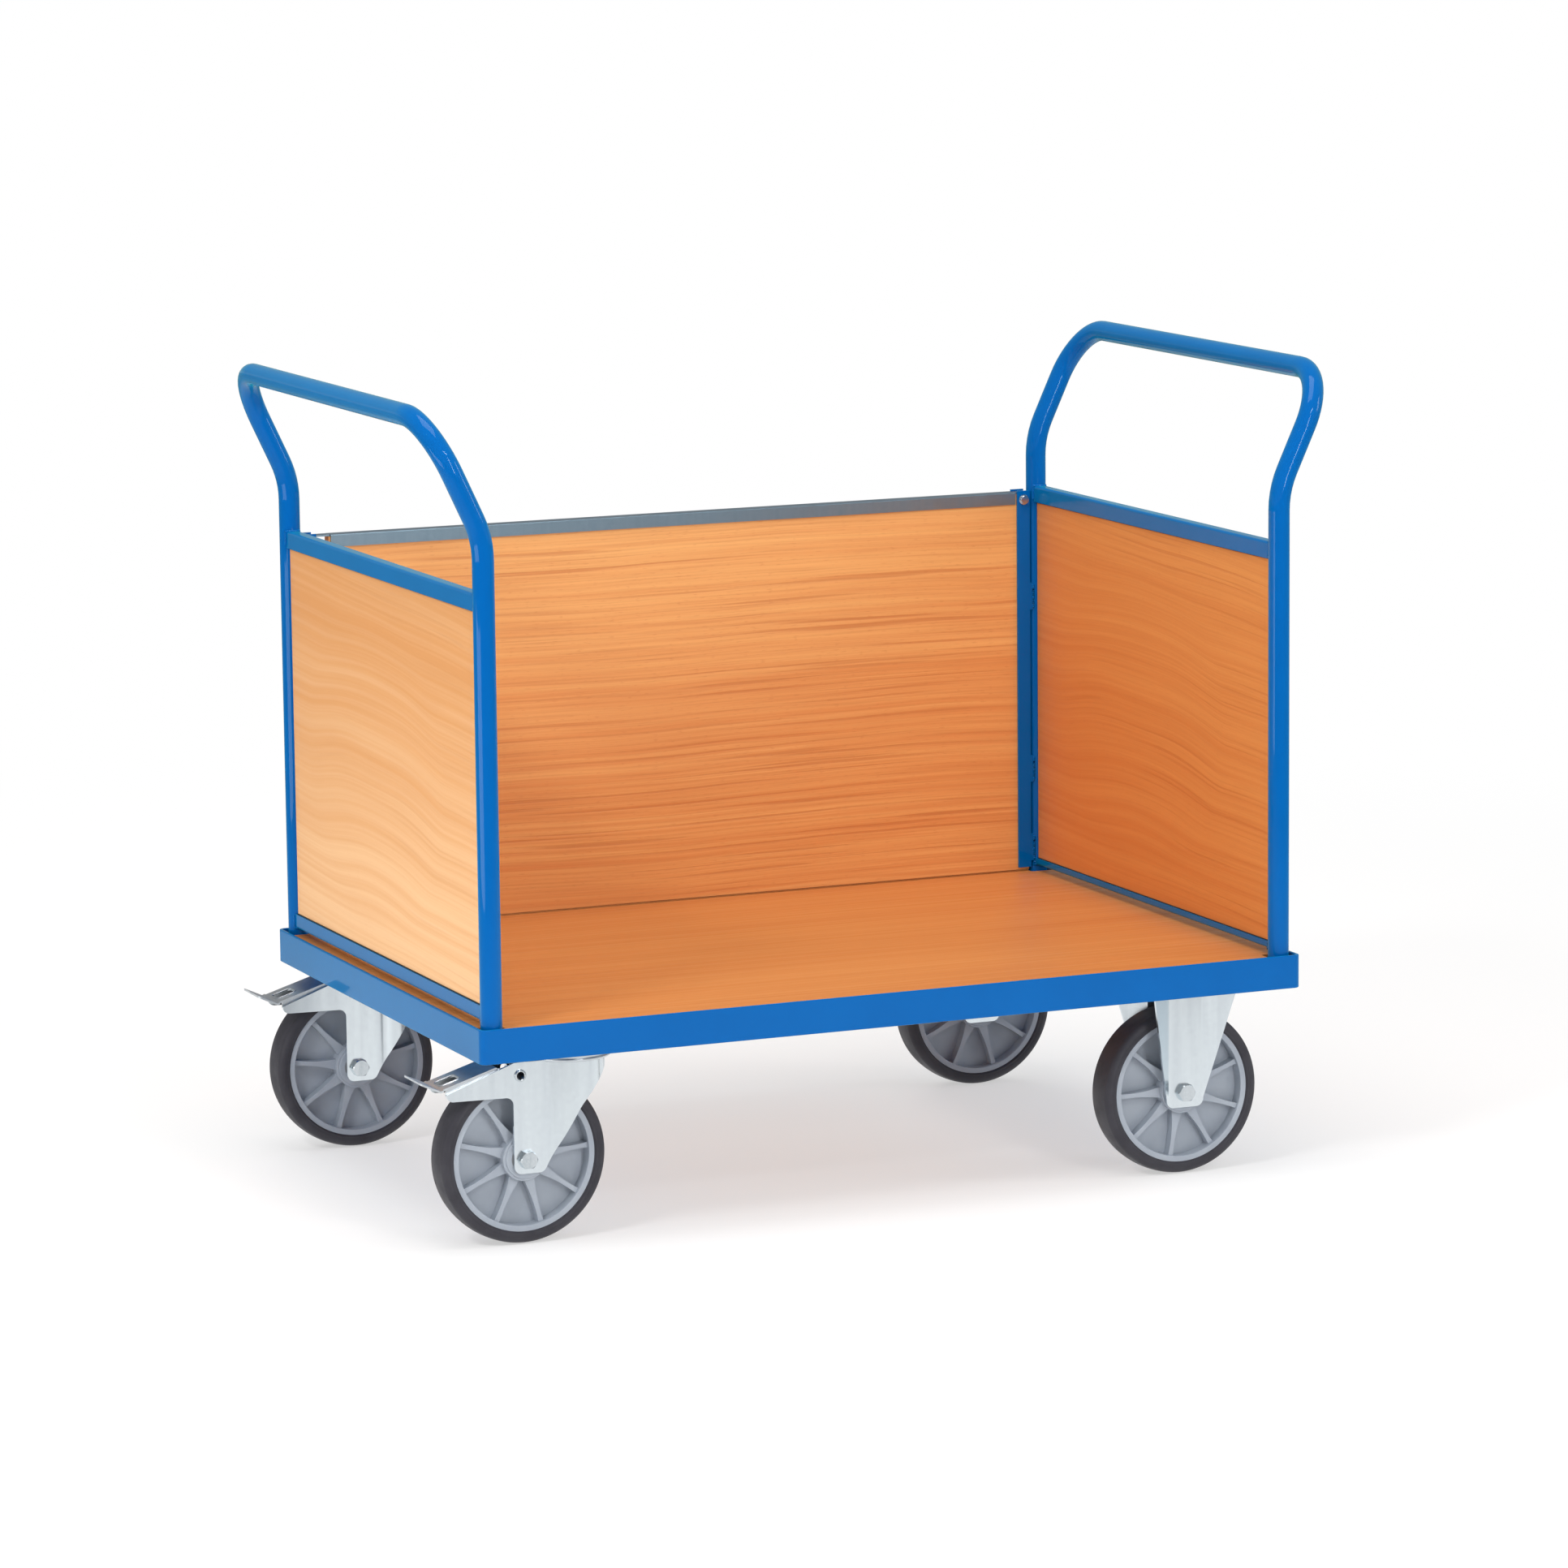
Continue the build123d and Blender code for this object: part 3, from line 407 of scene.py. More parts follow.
    def make_plating(self) -> bpy.types.NodeTree:
        """Plated sheet metal: crystals, drawn streaks and cloudy patches.

        Returns:
            The group.
        """
        group = EffectGroup(
            "metal_plating",
            {"Where": "vector", "Crystals": "value", "Bright": "colour", "Dull": "colour", "Gloss": "value"},
            {"Colour": "colour", "Roughness": "value", "Height": "value"},
        )
        w, where = group.wiring, group.inputs["Where"]
        crystal = w.node("ShaderNodeTexVoronoi", feature="F1")
        w.feed(crystal.inputs["Vector"], where)
        w.feed(crystal.inputs["Scale"], group.inputs["Crystals"])
        facet = w.node("ShaderNodeSeparateColor")
        w.feed(facet.inputs[0], crystal.outputs["Color"])
        cloud = w.noise(where, self.PATCH_CELLS, self.CLOUD_DETAIL, self.CLOUD_ROUGH)
        drawn = self.DRAWN.lay(w, where)
        patches = w.times(cloud, self.PATCH_SHARE)
        patches = w.times(w.span(drawn, *self.DRAWN_RANGE), self.DRAWN_SHARE, patches)
        tone = w.times(facet.outputs[0], self.FACET_SHARE, patches)
        w.feed(group.outputs["Colour"], w.mix(tone, group.inputs["Bright"], group.inputs["Dull"]))
        rough = w.times(tone, self.TONE_ROUGH, group.inputs["Gloss"])
        w.feed(group.outputs["Roughness"], w.times(drawn, self.DRAWN_ROUGH, rough))
        w.feed(group.outputs["Height"], w.times(drawn, self.DRAWN_HEIGHT, facet.outputs[1]))
        return group.tree


class BoardFace(Enum):
    """Which axes the grain of a board runs along and across."""

    DECK = ("X", "Y")
    BACK = ("X", "Z")
    END = ("Y", "Z")


@dataclass(frozen=True)
class Finish:
    """What every finish has.

    Attributes:
        name: The material's name.
        slot: The record's slot that the finish belongs to.
    """

    name: str
    slot: str

    @staticmethod
    def bump(w: Wiring, shader: bpy.types.Node, height: Socket, depth: float, strength: float) -> None:
        """Raise the surface by a height.

        Args:
            w: The material's wiring.
            shader: Its surface shader.
            height: Height, as a share of the depth.
            depth: What a height of 1 stands for, in metres.
            strength: Share of the effect.
        """
        made = w.node("ShaderNodeBump")
        made.inputs["Strength"].default_value = strength
        made.inputs["Distance"].default_value = depth
        w.feed(made.inputs["Height"], height)
        w.feed(shader.inputs["Normal"], made.outputs[0])

    def make(self, effects: Effects) -> bpy.types.Material:
        """Build the material from the shared effects."""
        raise NotImplementedError


@dataclass(frozen=True)
class Coat(Finish):
    """Powder coat, rubber or moulded plastic: a body colour with a fine skin.

    Attributes:
        first: The main colour.
        second: The colour of the soft clouds in it.
        clouds: Clouds to the metre.
        rough: Roughness of the smoothest and of the dullest spots.
        skin: Bumps of the skin to the metre.
        skin_depth: Height of those bumps in metres.
        specular: Strength of the plain reflection.
        tint: Colour of the plain reflection.
        clear: Weight of the clear layer.
        clear_rough: Roughness of the clear layer.
        sheen: Weight of the soft glow at grazing angles.
        sheen_tint: Colour of that glow.
    """

    BUMP_SHARE: ClassVar[float] = 0.6

    first: Colour
    second: Colour
    clouds: float
    rough: tuple[float, float]
    skin: float
    skin_depth: float
    specular: float = 0.5
    tint: Colour = WHITE
    clear: float = 0.0
    clear_rough: float = 0.06
    sheen: float = 0.0
    sheen_tint: Colour = WHITE

    def make(self, effects: Effects) -> bpy.types.Material:
        """Build the material.

        Args:
            effects: The shared effects.

        Returns:
            The material.
        """
        made, w, shader = blank_material(self.name)
        where = w.place()
        mottle = w.effect(
            effects.mottle, where=where, scale=self.clouds, first=self.first, second=self.second
        )
        relief = w.effect(effects.relief, where=where, scale=self.skin)
        w.feed(shader.inputs["Base Color"], mottle.outputs["Colour"])
        w.feed(shader.inputs["Roughness"], w.span(mottle.outputs["Mask"], 0.0, 1.0, *self.rough))
        shader.inputs["Specular IOR Level"].default_value = self.specular
        shader.inputs["Specular Tint"].default_value = self.tint
        shader.inputs["Coat Weight"].default_value = self.clear
        shader.inputs["Coat Roughness"].default_value = self.clear_rough
        shader.inputs["Sheen Weight"].default_value = self.sheen
        shader.inputs["Sheen Tint"].default_value = self.sheen_tint
        self.bump(w, shader, relief.outputs["Height"], self.skin_depth, self.BUMP_SHARE)
        return made


@dataclass(frozen=True)
class Beech(Finish):
    """A board with a beech decor face.

    Attributes:
        face: How the grain lies.
        shift: Where the board is cut from the decor, in metres along and across the grain.
        pale: Colour of the light streaks.
        warm: Colour of the darker streaks.
        line: Colour of the growth lines.
        depth: How strongly the growth lines, and the painted highlight lines among them, show.
        sway: How far the grain wanders across the board, in metres.
        drift: Painted shade: how much warmer and darker the board is painted for each metre below its middle;
            a negative value paints it paler there, as painted light.
        middle: Where the middle of that painted shade is, in metres.
        tilt: How much the grain climbs for each metre along the board.
        figure: How far the grain arches over the heart of the board, in metres.
        heart: Where that heart is along the board, in metres.
    """

    SPECULAR: ClassVar[float] = 0.4
    BUMP_DEPTH: ClassVar[float] = 0.0004
    BUMP_SHARE: ClassVar[float] = 0.5

    face: BoardFace
    shift: tuple[float, float]
    pale: Colour
    warm: Colour
    line: Colour
    depth: float
    sway: float
    drift: float = 0.0
    middle: float = 0.0
    tilt: float = 0.0
    figure: float = 0.0
    heart: float = 0.0

    def make(self, effects: Effects) -> bpy.types.Material:
        """Build the material.

        Args:
            effects: The shared effects.

        Returns:
            The material.
        """
        made, w, shader = blank_material(self.name)
        parts = w.node("ShaderNodeSeparateXYZ")
        w.feed(parts.inputs[0], w.place())
        where = w.node("ShaderNodeCombineXYZ")
        for target, axis, shift in zip(where.inputs, self.face.value, self.shift):
            w.feed(target, w.math("ADD", parts.outputs[axis], shift))
        grain = w.effect(
            effects.beech, where=where.outputs[0],
            pale=self.pale, warm=self.warm, line=self.line, line_depth=self.depth,
            sway=self.sway, tilt=self.tilt, figure=self.figure, heart=self.heart + self.shift[0],
            drift=self.drift, middle=self.middle + self.shift[1],
        )
        w.feed(shader.inputs["Base Color"], grain.outputs["Colour"])
        w.feed(shader.inputs["Roughness"], grain.outputs["Roughness"])
        shader.inputs["Specular IOR Level"].default_value = self.SPECULAR
        self.bump(w, shader, grain.outputs["Height"], self.BUMP_DEPTH, self.BUMP_SHARE)
        return made


@dataclass(frozen=True)
class Plated(Finish):
    """Zinc plated or galvanised steel.

    Attributes:
        bright: Colour of the bright crystals.
        dull: Colour of the dull ones.
        crystals: Crystals to the metre.
        gloss: Roughness of the brightest spots.
        depth: Height of the crystals in metres.
    """

    BUMP_SHARE: ClassVar[float] = 0.35

    bright: Colour
    dull: Colour
    crystals: float
    gloss: float
    depth: float

    def make(self, effects: Effects) -> bpy.types.Material:
        """Build the material.

        Args:
            effects: The shared effects.

        Returns:
            The material.
        """
        made, w, shader = blank_material(self.name)
        plating = w.effect(
            effects.plating, where=w.place(), crystals=self.crystals,
            bright=self.bright, dull=self.dull, gloss=self.gloss,
        )
        w.feed(shader.inputs["Base Color"], plating.outputs["Colour"])
        w.feed(shader.inputs["Roughness"], plating.outputs["Roughness"])
        shader.inputs["Metallic"].default_value = 1.0
        self.bump(w, shader, plating.outputs["Height"], self.depth, self.BUMP_SHARE)
        return made


@dataclass(frozen=True)
class Finishes:
    """Every finish of the trolley."""

    blue: Finish = Coat(
        name="blue_powder_coat", slot="blue_coat",
        first=srgb(0, 93, 170), second=srgb(0, 90, 166),
        clouds=9.0, rough=(0.06, 0.09), skin=180.0, skin_depth=0.000002,
        specular=0.04, tint=(0.0, 1.0, 1.0, 1.0),
        clear=0.34, clear_rough=0.03,
        sheen=0.2, sheen_tint=(0.05, 1.0, 0.7, 1.0),
    )
    deck: Finish = Beech(
        name="beech_deck", slot="board",
        face=BoardFace.DECK, shift=(0.9, 2.1),
        pale=srgb(213, 145, 82), warm=srgb(198, 121, 62), line=srgb(180, 99, 49),
        depth=0.28, sway=0.02,
    )
    back: Finish = Beech(
        name="beech_back", slot="board",
        face=BoardFace.BACK, shift=(3.3, 0.4),
        pale=srgb(237, 177, 108), warm=srgb(215, 135, 72), line=srgb(184, 103, 52),
        depth=0.42, sway=0.03,
        # Painted shade: the back board is painted warmer and darker towards the bottom.
        drift=0.9, middle=0.50,
    )
    # The two end boards are lit and shaded copies of one board. Painted light: the left board is paler, with
    # fainter grain, and paler still towards the bottom.
    left: Finish = Beech(
        name="beech_left_painted_lit", slot="board",
        face=BoardFace.END, shift=(6.2, 1.3),
        pale=srgb(247, 196, 141), warm=srgb(226, 158, 94), line=srgb(209, 141, 84),
        depth=0.16, sway=0.03,
        drift=-2.0, middle=0.50,
        tilt=-0.05, figure=-0.022, heart=0.03,
    )
    # Painted shade: the right board is the left one in warmer, darker colours with stronger grain, and darker
    # towards the bottom.
    right: Finish = replace(
        left, name="beech_right_painted_shade",
        pale=srgb(226, 154, 86), warm=srgb(211, 130, 68), line=srgb(188, 106, 54),
        depth=0.32, drift=0.8,
    )
    channel: Finish = Plated(
        name="galvanised_channel", slot="galvanised",
        bright=srgb(148, 171, 187), dull=srgb(136, 160, 176),
        crystals=160.0, gloss=0.30, depth=0.00001,
    )
    zinc: Finish = Plated(
        name="zinc_plate", slot="zinc",
        bright=srgb(231, 239, 243), dull=srgb(222, 230, 236),
        crystals=210.0, gloss=0.17, depth=0.000003,
    )
    chrome: Finish = Plated(
        name="bright_plate", slot="zinc",
        bright=srgb(226, 231, 234), dull=srgb(206, 212, 217),
        crystals=90.0, gloss=0.30, depth=0.000005,
    )
    fastener: Finish = Plated(
        name="zinc_fastener", slot="zinc",
        bright=srgb(220, 226, 230), dull=srgb(192, 201, 207),
        crystals=520.0, gloss=0.18, depth=0.00001,
    )
    balls: Finish = Plated(
        name="ball_steel", slot="ball_steel",
        bright=srgb(210, 212, 216), dull=srgb(190, 194, 198),
        crystals=300.0, gloss=0.12, depth=0.00001,
    )
    tyre: Finish = Coat(
        name="tyre_rubber", slot="tyre",
        first=srgb(56, 55, 62), second=srgb(50, 49, 56),
        clouds=26.0, rough=(0.52, 0.64), skin=1500.0, skin_depth=0.00008,
        specular=0.4,
    )
    core: Finish = Coat(
        name="wheel_plastic", slot="wheel_plastic",
        first=srgb(164, 172, 182), second=srgb(156, 164, 175),
        clouds=18.0, rough=(0.36, 0.46), skin=1900.0, skin_depth=0.00004,
    )
    # Painted shade: the bush grey is set dark so that the glimpse of it between fork and hub reads as the
    # shade in that gap.
    bush: Finish = Coat(
        name="bush_plastic", slot="bush_plastic",
        first=srgb(122, 124, 127), second=srgb(111, 113, 117),
        clouds=30.0, rough=(0.3, 0.4), skin=1500.0, skin_depth=0.00003,
    )
    seal: Finish = Coat(
        name="seal_rubber", slot="seal",
        first=srgb(40, 42, 48), second=srgb(33, 35, 40),
        clouds=30.0, rough=(0.5, 0.62), skin=1400.0, skin_depth=0.00006,
    )


class Paintbox:
    """Makes each finish's material the first time that it is asked for."""

    def __init__(self) -> None:
        """Build the shared effects and start empty."""
        self.effects = Effects()
        self.made: dict[str, bpy.types.Material] = {}

    def material(self, finish: Finish) -> bpy.types.Material:
        """The material of a finish.

        Args:
            finish: The finish.

        Returns:
            Its material, made if it is new.
        """
        if finish.name not in self.made:
            self.made[finish.name] = finish.make(self.effects)
        return self.made[finish.name]

    def dress(self, piece: bpy.types.Object, finish: Finish) -> None:
        """Give a piece its material.

        Args:
            piece: A frame node or a new piece.
            finish: What it is finished in.
        """
        piece.data.materials.clear()
        piece.data.materials.append(self.material(finish))
        log.info("%s in %s", piece.name, finish.name)


class Shaper:
    """Builds the small added pieces as meshes."""

    BEAD_SIDES = 10
    RIPPLE_STEPS = 4
    TIP_SHARE = 0.45

    def __init__(self) -> None:
        """Start an empty mesh."""
        self.mesh = bmesh.new()

    def skin(self, rows: list[list[Vector]], closed: bool) -> None:
        """Join rows of points, each a closed loop, into a surface.

        Args:
            rows: The loops, in order.
            closed: Join the last loop to the first, or else cap both ends.
        """
        made = [[self.mesh.verts.new(point) for point in row] for row in rows]
        pairs = list(zip(made, made[1:])) + ([(made[-1], made[0])] if closed else [])
        for first, second in pairs:
            for i in range(len(first)):
                j = (i + 1) % len(first)
                self.mesh.faces.new((first[i], first[j], second[j], second[i]))
        if not closed:
            self.mesh.faces.new(reversed(made[0]))
            self.mesh.faces.new(made[-1])

    def lathe(self, profile: Profile, axle: Matrix, steps: int) -> None:
        """Turn a closed profile about an axle.

        Args:
            profile: Radius and height of each corner, in metres.
            axle: Where the axle stands, its own Z along it.
            steps: Facets round the ring.
        """
        rows = []
        for i in range(steps):
            turn = math.tau * i / steps
            rows.append([axle @ Vector((r * math.cos(turn), r * math.sin(turn), z)) for r, z in profile])
        self.skin(rows, closed=True)

    def bead(self, path: list[Vector], radius: float, pitch: float, swell: float) -> None:
        """Lay a rippled weld bead along a path.

        Args:
            path: Corners of the path, in metres.
            radius: Mean radius of the bead.
            pitch: Length of one ripple.
            swell: How much a ripple swells, as a share of the radius.
        """
        spots = []
        for start, end in zip(path, path[1:]):
            count = max(1, round((end - start).length / (pitch / self.RIPPLE_STEPS)))
            spots += [start.lerp(end, i / count) for i in range(count)]
        spots.append(path[-1])
        turns = [math.tau * k / self.BEAD_SIDES for k in range(self.BEAD_SIDES)]
        last = len(spots) - 1
        rows, run = [], 0.0
        for i, spot in enumerate(spots):
            before, after = spots[max(i - 1, 0)], spots[min(i + 1, last)]
            run += (spot - before).length
            way = (after - before).to_track_quat("Z", "Y").to_matrix()
            size = radius * (1.0 + swell * math.sin(math.tau * run / pitch))
            size *= self.TIP_SHARE if i in (0, last) else 1.0
            rows.append([spot + way @ Vector((size * math.cos(a), size * math.sin(a), 0.0)) for a in turns])
        self.skin(rows, closed=False)

    def finish(self, name: str, body: str) -> bpy.types.Object:
        """Turn the mesh into a piece that rides on a body.

        Args:
            name: The piece's name.
            body: The body that carries it.

        Returns:
            The piece.
        """
        bmesh.ops.recalc_face_normals(self.mesh, faces=self.mesh.faces)
        data = bpy.data.meshes.new(name)
        self.mesh.to_mesh(data)
        self.mesh.free()
        data.shade_smooth()
        piece = bpy.data.objects.new(name, data)
        bpy.context.scene.collection.objects.link(piece)
        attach(piece, body)
        log.info("%s on %s", name, body)
        return piece


@dataclass
class SubAssembly:
    """Pieces that belong together.

    Attributes:
        finishes: The finishes to use.
        paint: Where their materials come from.
    """

    finishes: Finishes
    paint: Paintbox

    def coat(self, finish: Finish, *names: str) -> None:
        """Give frame nodes one finish."""
        for name in names:
            self.paint.dress(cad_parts[name], finish)


@dataclass
class Platform(SubAssembly):
    """The frame rails, the cross plates and the deck."""

    def dress(self) -> None:
        """Give the nodes their finishes."""
        rails = [f"frame_{side}_rail" for side in ("front", "rear", "left", "right")]
        self.coat(self.finishes.blue, *rails, "left_cross_plate", "right_cross_plate")
        self.coat(self.finishes.deck, "deck_board")
        self.coat(self.finishes.fastener, "deck_screws", "castor_studs", "castor_nuts")


@dataclass
class EndWall(SubAssembly):
    """A bent handle with the wall between its legs.

    Attributes:
        side: left or right.
        board: The finish of the board.
        post_x: Distance of the leg axes from the middle, along the trolley.
        post_y: Distance of the leg axes from the middle, across the trolley.
        tube_radius: Radius of the legs.
        rail_half: Half the width of the rails.
        inner_wall: Height of the bottom rail's inner wall.
        lug_middles: Heights of the guide lugs.
        lug_half: Half the length of a lug's weld.
        bead_radius: Radius of a weld bead.
        bead_pitch: Length of one ripple in it.
        bead_swell: How much the ripples swell.
    """

    SUNK_SHARE: ClassVar[float] = 1 / 3
    WEB_STEPS: ClassVar[int] = 4

    side: str
    board: Finish
    post_x: float = 0.495
    post_y: float = 0.330
    tube_radius: float = 0.0125
    rail_half: float = 0.008
    inner_wall: float = 0.008
    lug_middles: tuple[float, ...] = (0.287, 0.388, 0.608)
    lug_half: float = 0.015
    bead_radius: float = 0.0016
    bead_pitch: float = 0.0026
    bead_swell: float = 0.12

    @property
    def out(self) -> int:
        """Which way along X the wall's outer face looks."""
        return -1 if self.side == "left" else 1

    def dress(self) -> None:
        """Give the nodes their finishes."""
        steel = ("handle", "top_rail", "bottom_rail", "guides")
        self.coat(self.finishes.blue, *(f"{self.side}_{part}" for part in steel))
        self.coat(self.board, f"{self.side}_panel")
        self.coat(self.finishes.seal, f"{self.side}_panel_seals")

    def rail_end(self, way: int, web_z: float, inner_z: float, outer_z: float) -> list[Vector]:
        """The joint between a rail and a leg: up one wall, across the web and down the other.

        Args:
            way: -1 at the front leg, 1 at the rear leg.
            web_z: Height of the web's face.
            inner_z: Height of the inner wall's edge.
            outer_z: Height of the outer wall's edge.

        Returns:
            The corners of the path.
        """
        reach = self.tube_radius + self.bead_radius * self.SUNK_SHARE
        wall = self.rail_half + self.bead_radius * self.SUNK_SHARE

        def spot(dx: float, z: float) -> Vector:
            """The joint's point at dx outwards of the leg's axis and height z."""
            dy = math.sqrt(reach**2 - dx**2)
            return Vector((self.out * (self.post_x + dx), way * (self.post_y - dy), z))

        shares = [1 - i / self.WEB_STEPS for i in range(2 * self.WEB_STEPS + 1)]
        web = [spot(share * (wall - self.bead_radius), web_z) for share in shares]
        return [spot(wall, outer_z), spot(wall, web_z)] + web + [spot(-wall, web_z), spot(-wall, inner_z)]

    def build(self) -> None:
        """Lay the weld beads of the rails and of the guide lugs."""
        top_low, top_high = (corner[2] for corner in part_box(f"{self.side}_top_rail"))
        low, high = (corner[2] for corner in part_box(f"{self.side}_bottom_rail"))
        top_edge = top_low + 2 * self.bead_radius
        inner_edge, outer_edge = low + self.inner_wall - self.bead_radius, high - self.bead_radius
        paths = []
        for way in (-1, 1):
            paths.append(self.rail_end(way, top_high, top_edge, top_edge))
            paths.append(self.rail_end(way, low, inner_edge, outer_edge))
        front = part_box(f"{self.side}_guides")[0][1]
        reach = self.tube_radius * math.cos(math.asin((self.post_y - front) / self.tube_radius))
        x = self.out * (self.post_x - reach - self.bead_radius / 2)
        for middle in self.lug_middles:
            ends = (middle - self.lug_half, middle + self.lug_half)
            paths.append([Vector((x, front, z)) for z in ends])
        shaper = Shaper()
        for path in paths:
            shaper.bead(path, self.bead_radius, self.bead_pitch, self.bead_swell)
        self.paint.dress(shaper.finish(f"{self.side}_weld_beads", "chassis"), self.finishes.blue)


@dataclass
class BackWall(SubAssembly):
    """The rear board, its channel and its bolts."""

    def dress(self) -> None:
        """Give the nodes their finishes."""
        self.coat(self.finishes.back, "back_panel")
        self.coat(self.finishes.channel, "back_channel")
        self.coat(self.finishes.fastener, "wall_bolts", "wall_washers", "wall_nuts")


@dataclass
class Castors(SubAssembly):
    """The swivel and fixed castors and their wheels.

    Attributes:
        swivel_x: Where the swivel axes stand, along the trolley.
        castor_y: Distance of the castors from the middle, across the trolley.
        axle_x: Where the axles of the swivel castors are.
        ring_profile: Radius and height of each corner of the ring round a swivel head.
        ring_steps: Facets round that ring.
        line_radius: Radius of the moulded line on a tyre's flank.
        line_proud: How far the line stands out.
        line_half: Half its width.
        tyre_half: Half the width of a tyre.
        slot_near: Distance from the axle to the near end of a pedal's slot.
        slot_far: Distance to its far end.
        slot_half: Half the width of the slot.
        slot_round: Radius of its corners.
        slot_turns: Steps round each of those corners.
        slope_start: Distance from the axle and height at which the pedal starts to slope.
        slope: How much it falls for each metre.
        rim_radius: Radius of the rolled edge round the slot.
        pivot: Where the brake rivets are, along the trolley and above the floor.
        rivet_profile: Radius and height of each corner of a rivet's rolled rim.
        rivet_steps: Facets round that rim.
    """

    swivel_x: float = -0.386
    castor_y: float = 0.283
    axle_x: float = -0.448
    ring_profile: Profile = (
        (0.0462, 0.2187), (0.0484, 0.2187), (0.0492, 0.2181), (0.0494, 0.2172), (0.0490, 0.2162),
        (0.0481, 0.2149), (0.0490, 0.2137), (0.0494, 0.2125), (0.0490, 0.2112), (0.0478, 0.2104),
        (0.0462, 0.2103),
    )
    ring_steps: int = 96
    line_radius: float = 0.0903
    line_proud: float = 0.0004
    line_half: float = 0.0007
    tyre_half: float = 0.022
    slot_near: float = 0.072
    slot_far: float = 0.0965
    slot_half: float = 0.011
    slot_round: float = 0.004
    slot_turns: int = 4
    slope_start: tuple[float, float] = (0.034, 0.2082)
    slope: float = 0.305
    rim_radius: float = 0.0009
    pivot: tuple[float, float] = (-0.455, 0.1972)
    rivet_profile: Profile = (
        (0.0043, -0.0004), (0.0043, 0.0003), (0.0048, 0.0009), (0.0056, 0.0010), (0.0064, 0.0007),
        (0.0069, 0.0001), (0.0069, -0.0004),
    )
    rivet_steps: int = 40

    def dust_ring(self, row: str, y: float) -> bpy.types.Object:
        """A rolled ring round the swivel head.

        Args:
            row: front or rear.
            y: The castor's middle plane.

        Returns:
            The piece.
        """
        shaper = Shaper()
        axle = Matrix.Translation((self.swivel_x, y, 0.0))
        shaper.lathe(self.ring_profile, axle, self.ring_steps)
        return shaper.finish(f"{row}_swivel_ring", f"{row}_left_fork")

    def slot_rim(self, row: str, y: float) -> bpy.types.Object:
        """A rolled edge round the slot of a brake pedal.

        Args:
            row: front or rear.
            y: The castor's middle plane.

        Returns:
            The piece.
        """
        near, far = self.slot_near + self.slot_round, self.slot_far - self.slot_round
        half = self.slot_half - self.slot_round
        path = []
        for quarter, (reach, side) in enumerate(((near, half), (far, half), (far, -half), (near, -half))):
            for step in range(self.slot_turns + 1):
                turn = math.pi - (quarter + step / self.slot_turns) * math.pi / 2
                x = reach + self.slot_round * math.cos(turn)
                z = self.slope_start[1] - (x - self.slope_start[0]) * self.slope
                path.append(Vector((self.axle_x - x, y + side + self.slot_round * math.sin(turn), z)))
        shaper = Shaper()
        shaper.bead(path + [path[0]], self.rim_radius, self.rim_radius, 0.0)
        return shaper.finish(f"{row}_pedal_slot_rim", f"{row}_left_pedal")

    def rivet_rims(self, row: str) -> bpy.types.Object:
        """The rolled rims of a castor's two hollow brake rivets.

        Args:
            row: front or rear.

        Returns:
            The piece.
        """
        low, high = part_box(f"{row}_left_brake_rivets")
        shaper = Shaper()
        for y, way in ((low[1], -1), (high[1], 1)):
            place = Matrix.Translation((self.pivot[0], y, self.pivot[1]))
            axle = place @ Matrix.Rotation(-way * math.pi / 2, 4, "X")
            shaper.lathe(self.rivet_profile, axle, self.rivet_steps)
        return shaper.finish(f"{row}_rivet_rims", f"{row}_left_fork")

    def tyre_lines(self, corner: str) -> bpy.types.Object:
        """The moulded lines on both flanks of a tyre.

        Args:
            corner: Row and end of the wheel.

        Returns:
            The piece.
        """
        low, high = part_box(f"{corner}_tyre")
        middle = (Vector(low) + Vector(high)) / 2
        shaper = Shaper()
        foot, crest = self.tyre_half - self.line_proud, self.tyre_half + self.line_proud
        inner, outer = self.line_radius - self.line_half, self.line_radius + self.line_half
        profile = ((inner, foot), (self.line_radius, crest), (outer, foot))
        for way in (-1, 1):
            axle = Matrix.Translation(middle) @ Matrix.Rotation(-way * math.pi / 2, 4, "X")
            shaper.lathe(profile, axle, 2 * self.ring_steps)
        return shaper.finish(f"{corner}_tyre_lines", f"{corner}_wheel")

    def build(self) -> None:
        """Add the dust rings, the slot rims, the rivet rims and the tyre lines."""
        for row, y in (("front", -self.castor_y), ("rear", self.castor_y)):
            self.paint.dress(self.dust_ring(row, y), self.finishes.chrome)
            self.paint.dress(self.slot_rim(row, y), self.finishes.chrome)
            self.paint.dress(self.rivet_rims(row), self.finishes.fastener)
            for end in ("left", "right"):
                self.paint.dress(self.tyre_lines(f"{row}_{end}"), self.finishes.tyre)

    def dress(self) -> None:
        """Give the nodes their finishes."""
        for row in ("front", "rear"):
            steel = [f"{row}_left_{part}" for part in ("swivel_plate", "swivel_fork")]
            self.coat(self.finishes.zinc, *steel, f"{row}_right_fixed_fork")
            self.coat(self.finishes.chrome, f"{row}_left_brake_pedal")
            small = [f"{row}_left_{part}" for part in ("brake_rivets", "axle_bolt", "axle_sleeve")]
            self.coat(self.finishes.fastener, *small)
            self.coat(self.finishes.balls, f"{row}_left_swivel_balls")
            for end in ("left", "right"):
                self.coat(self.finishes.core, f"{row}_{end}_wheel_core")
                self.coat(self.finishes.tyre, f"{row}_{end}_tyre")
                self.coat(self.finishes.bush, f"{row}_{end}_wheel_bushes")
        shared = ["swivel_king_pins", "swivel_lower_races", "fixed_axle_bolts", "fixed_axle_sleeves"]
        self.coat(self.finishes.fastener, *shared)


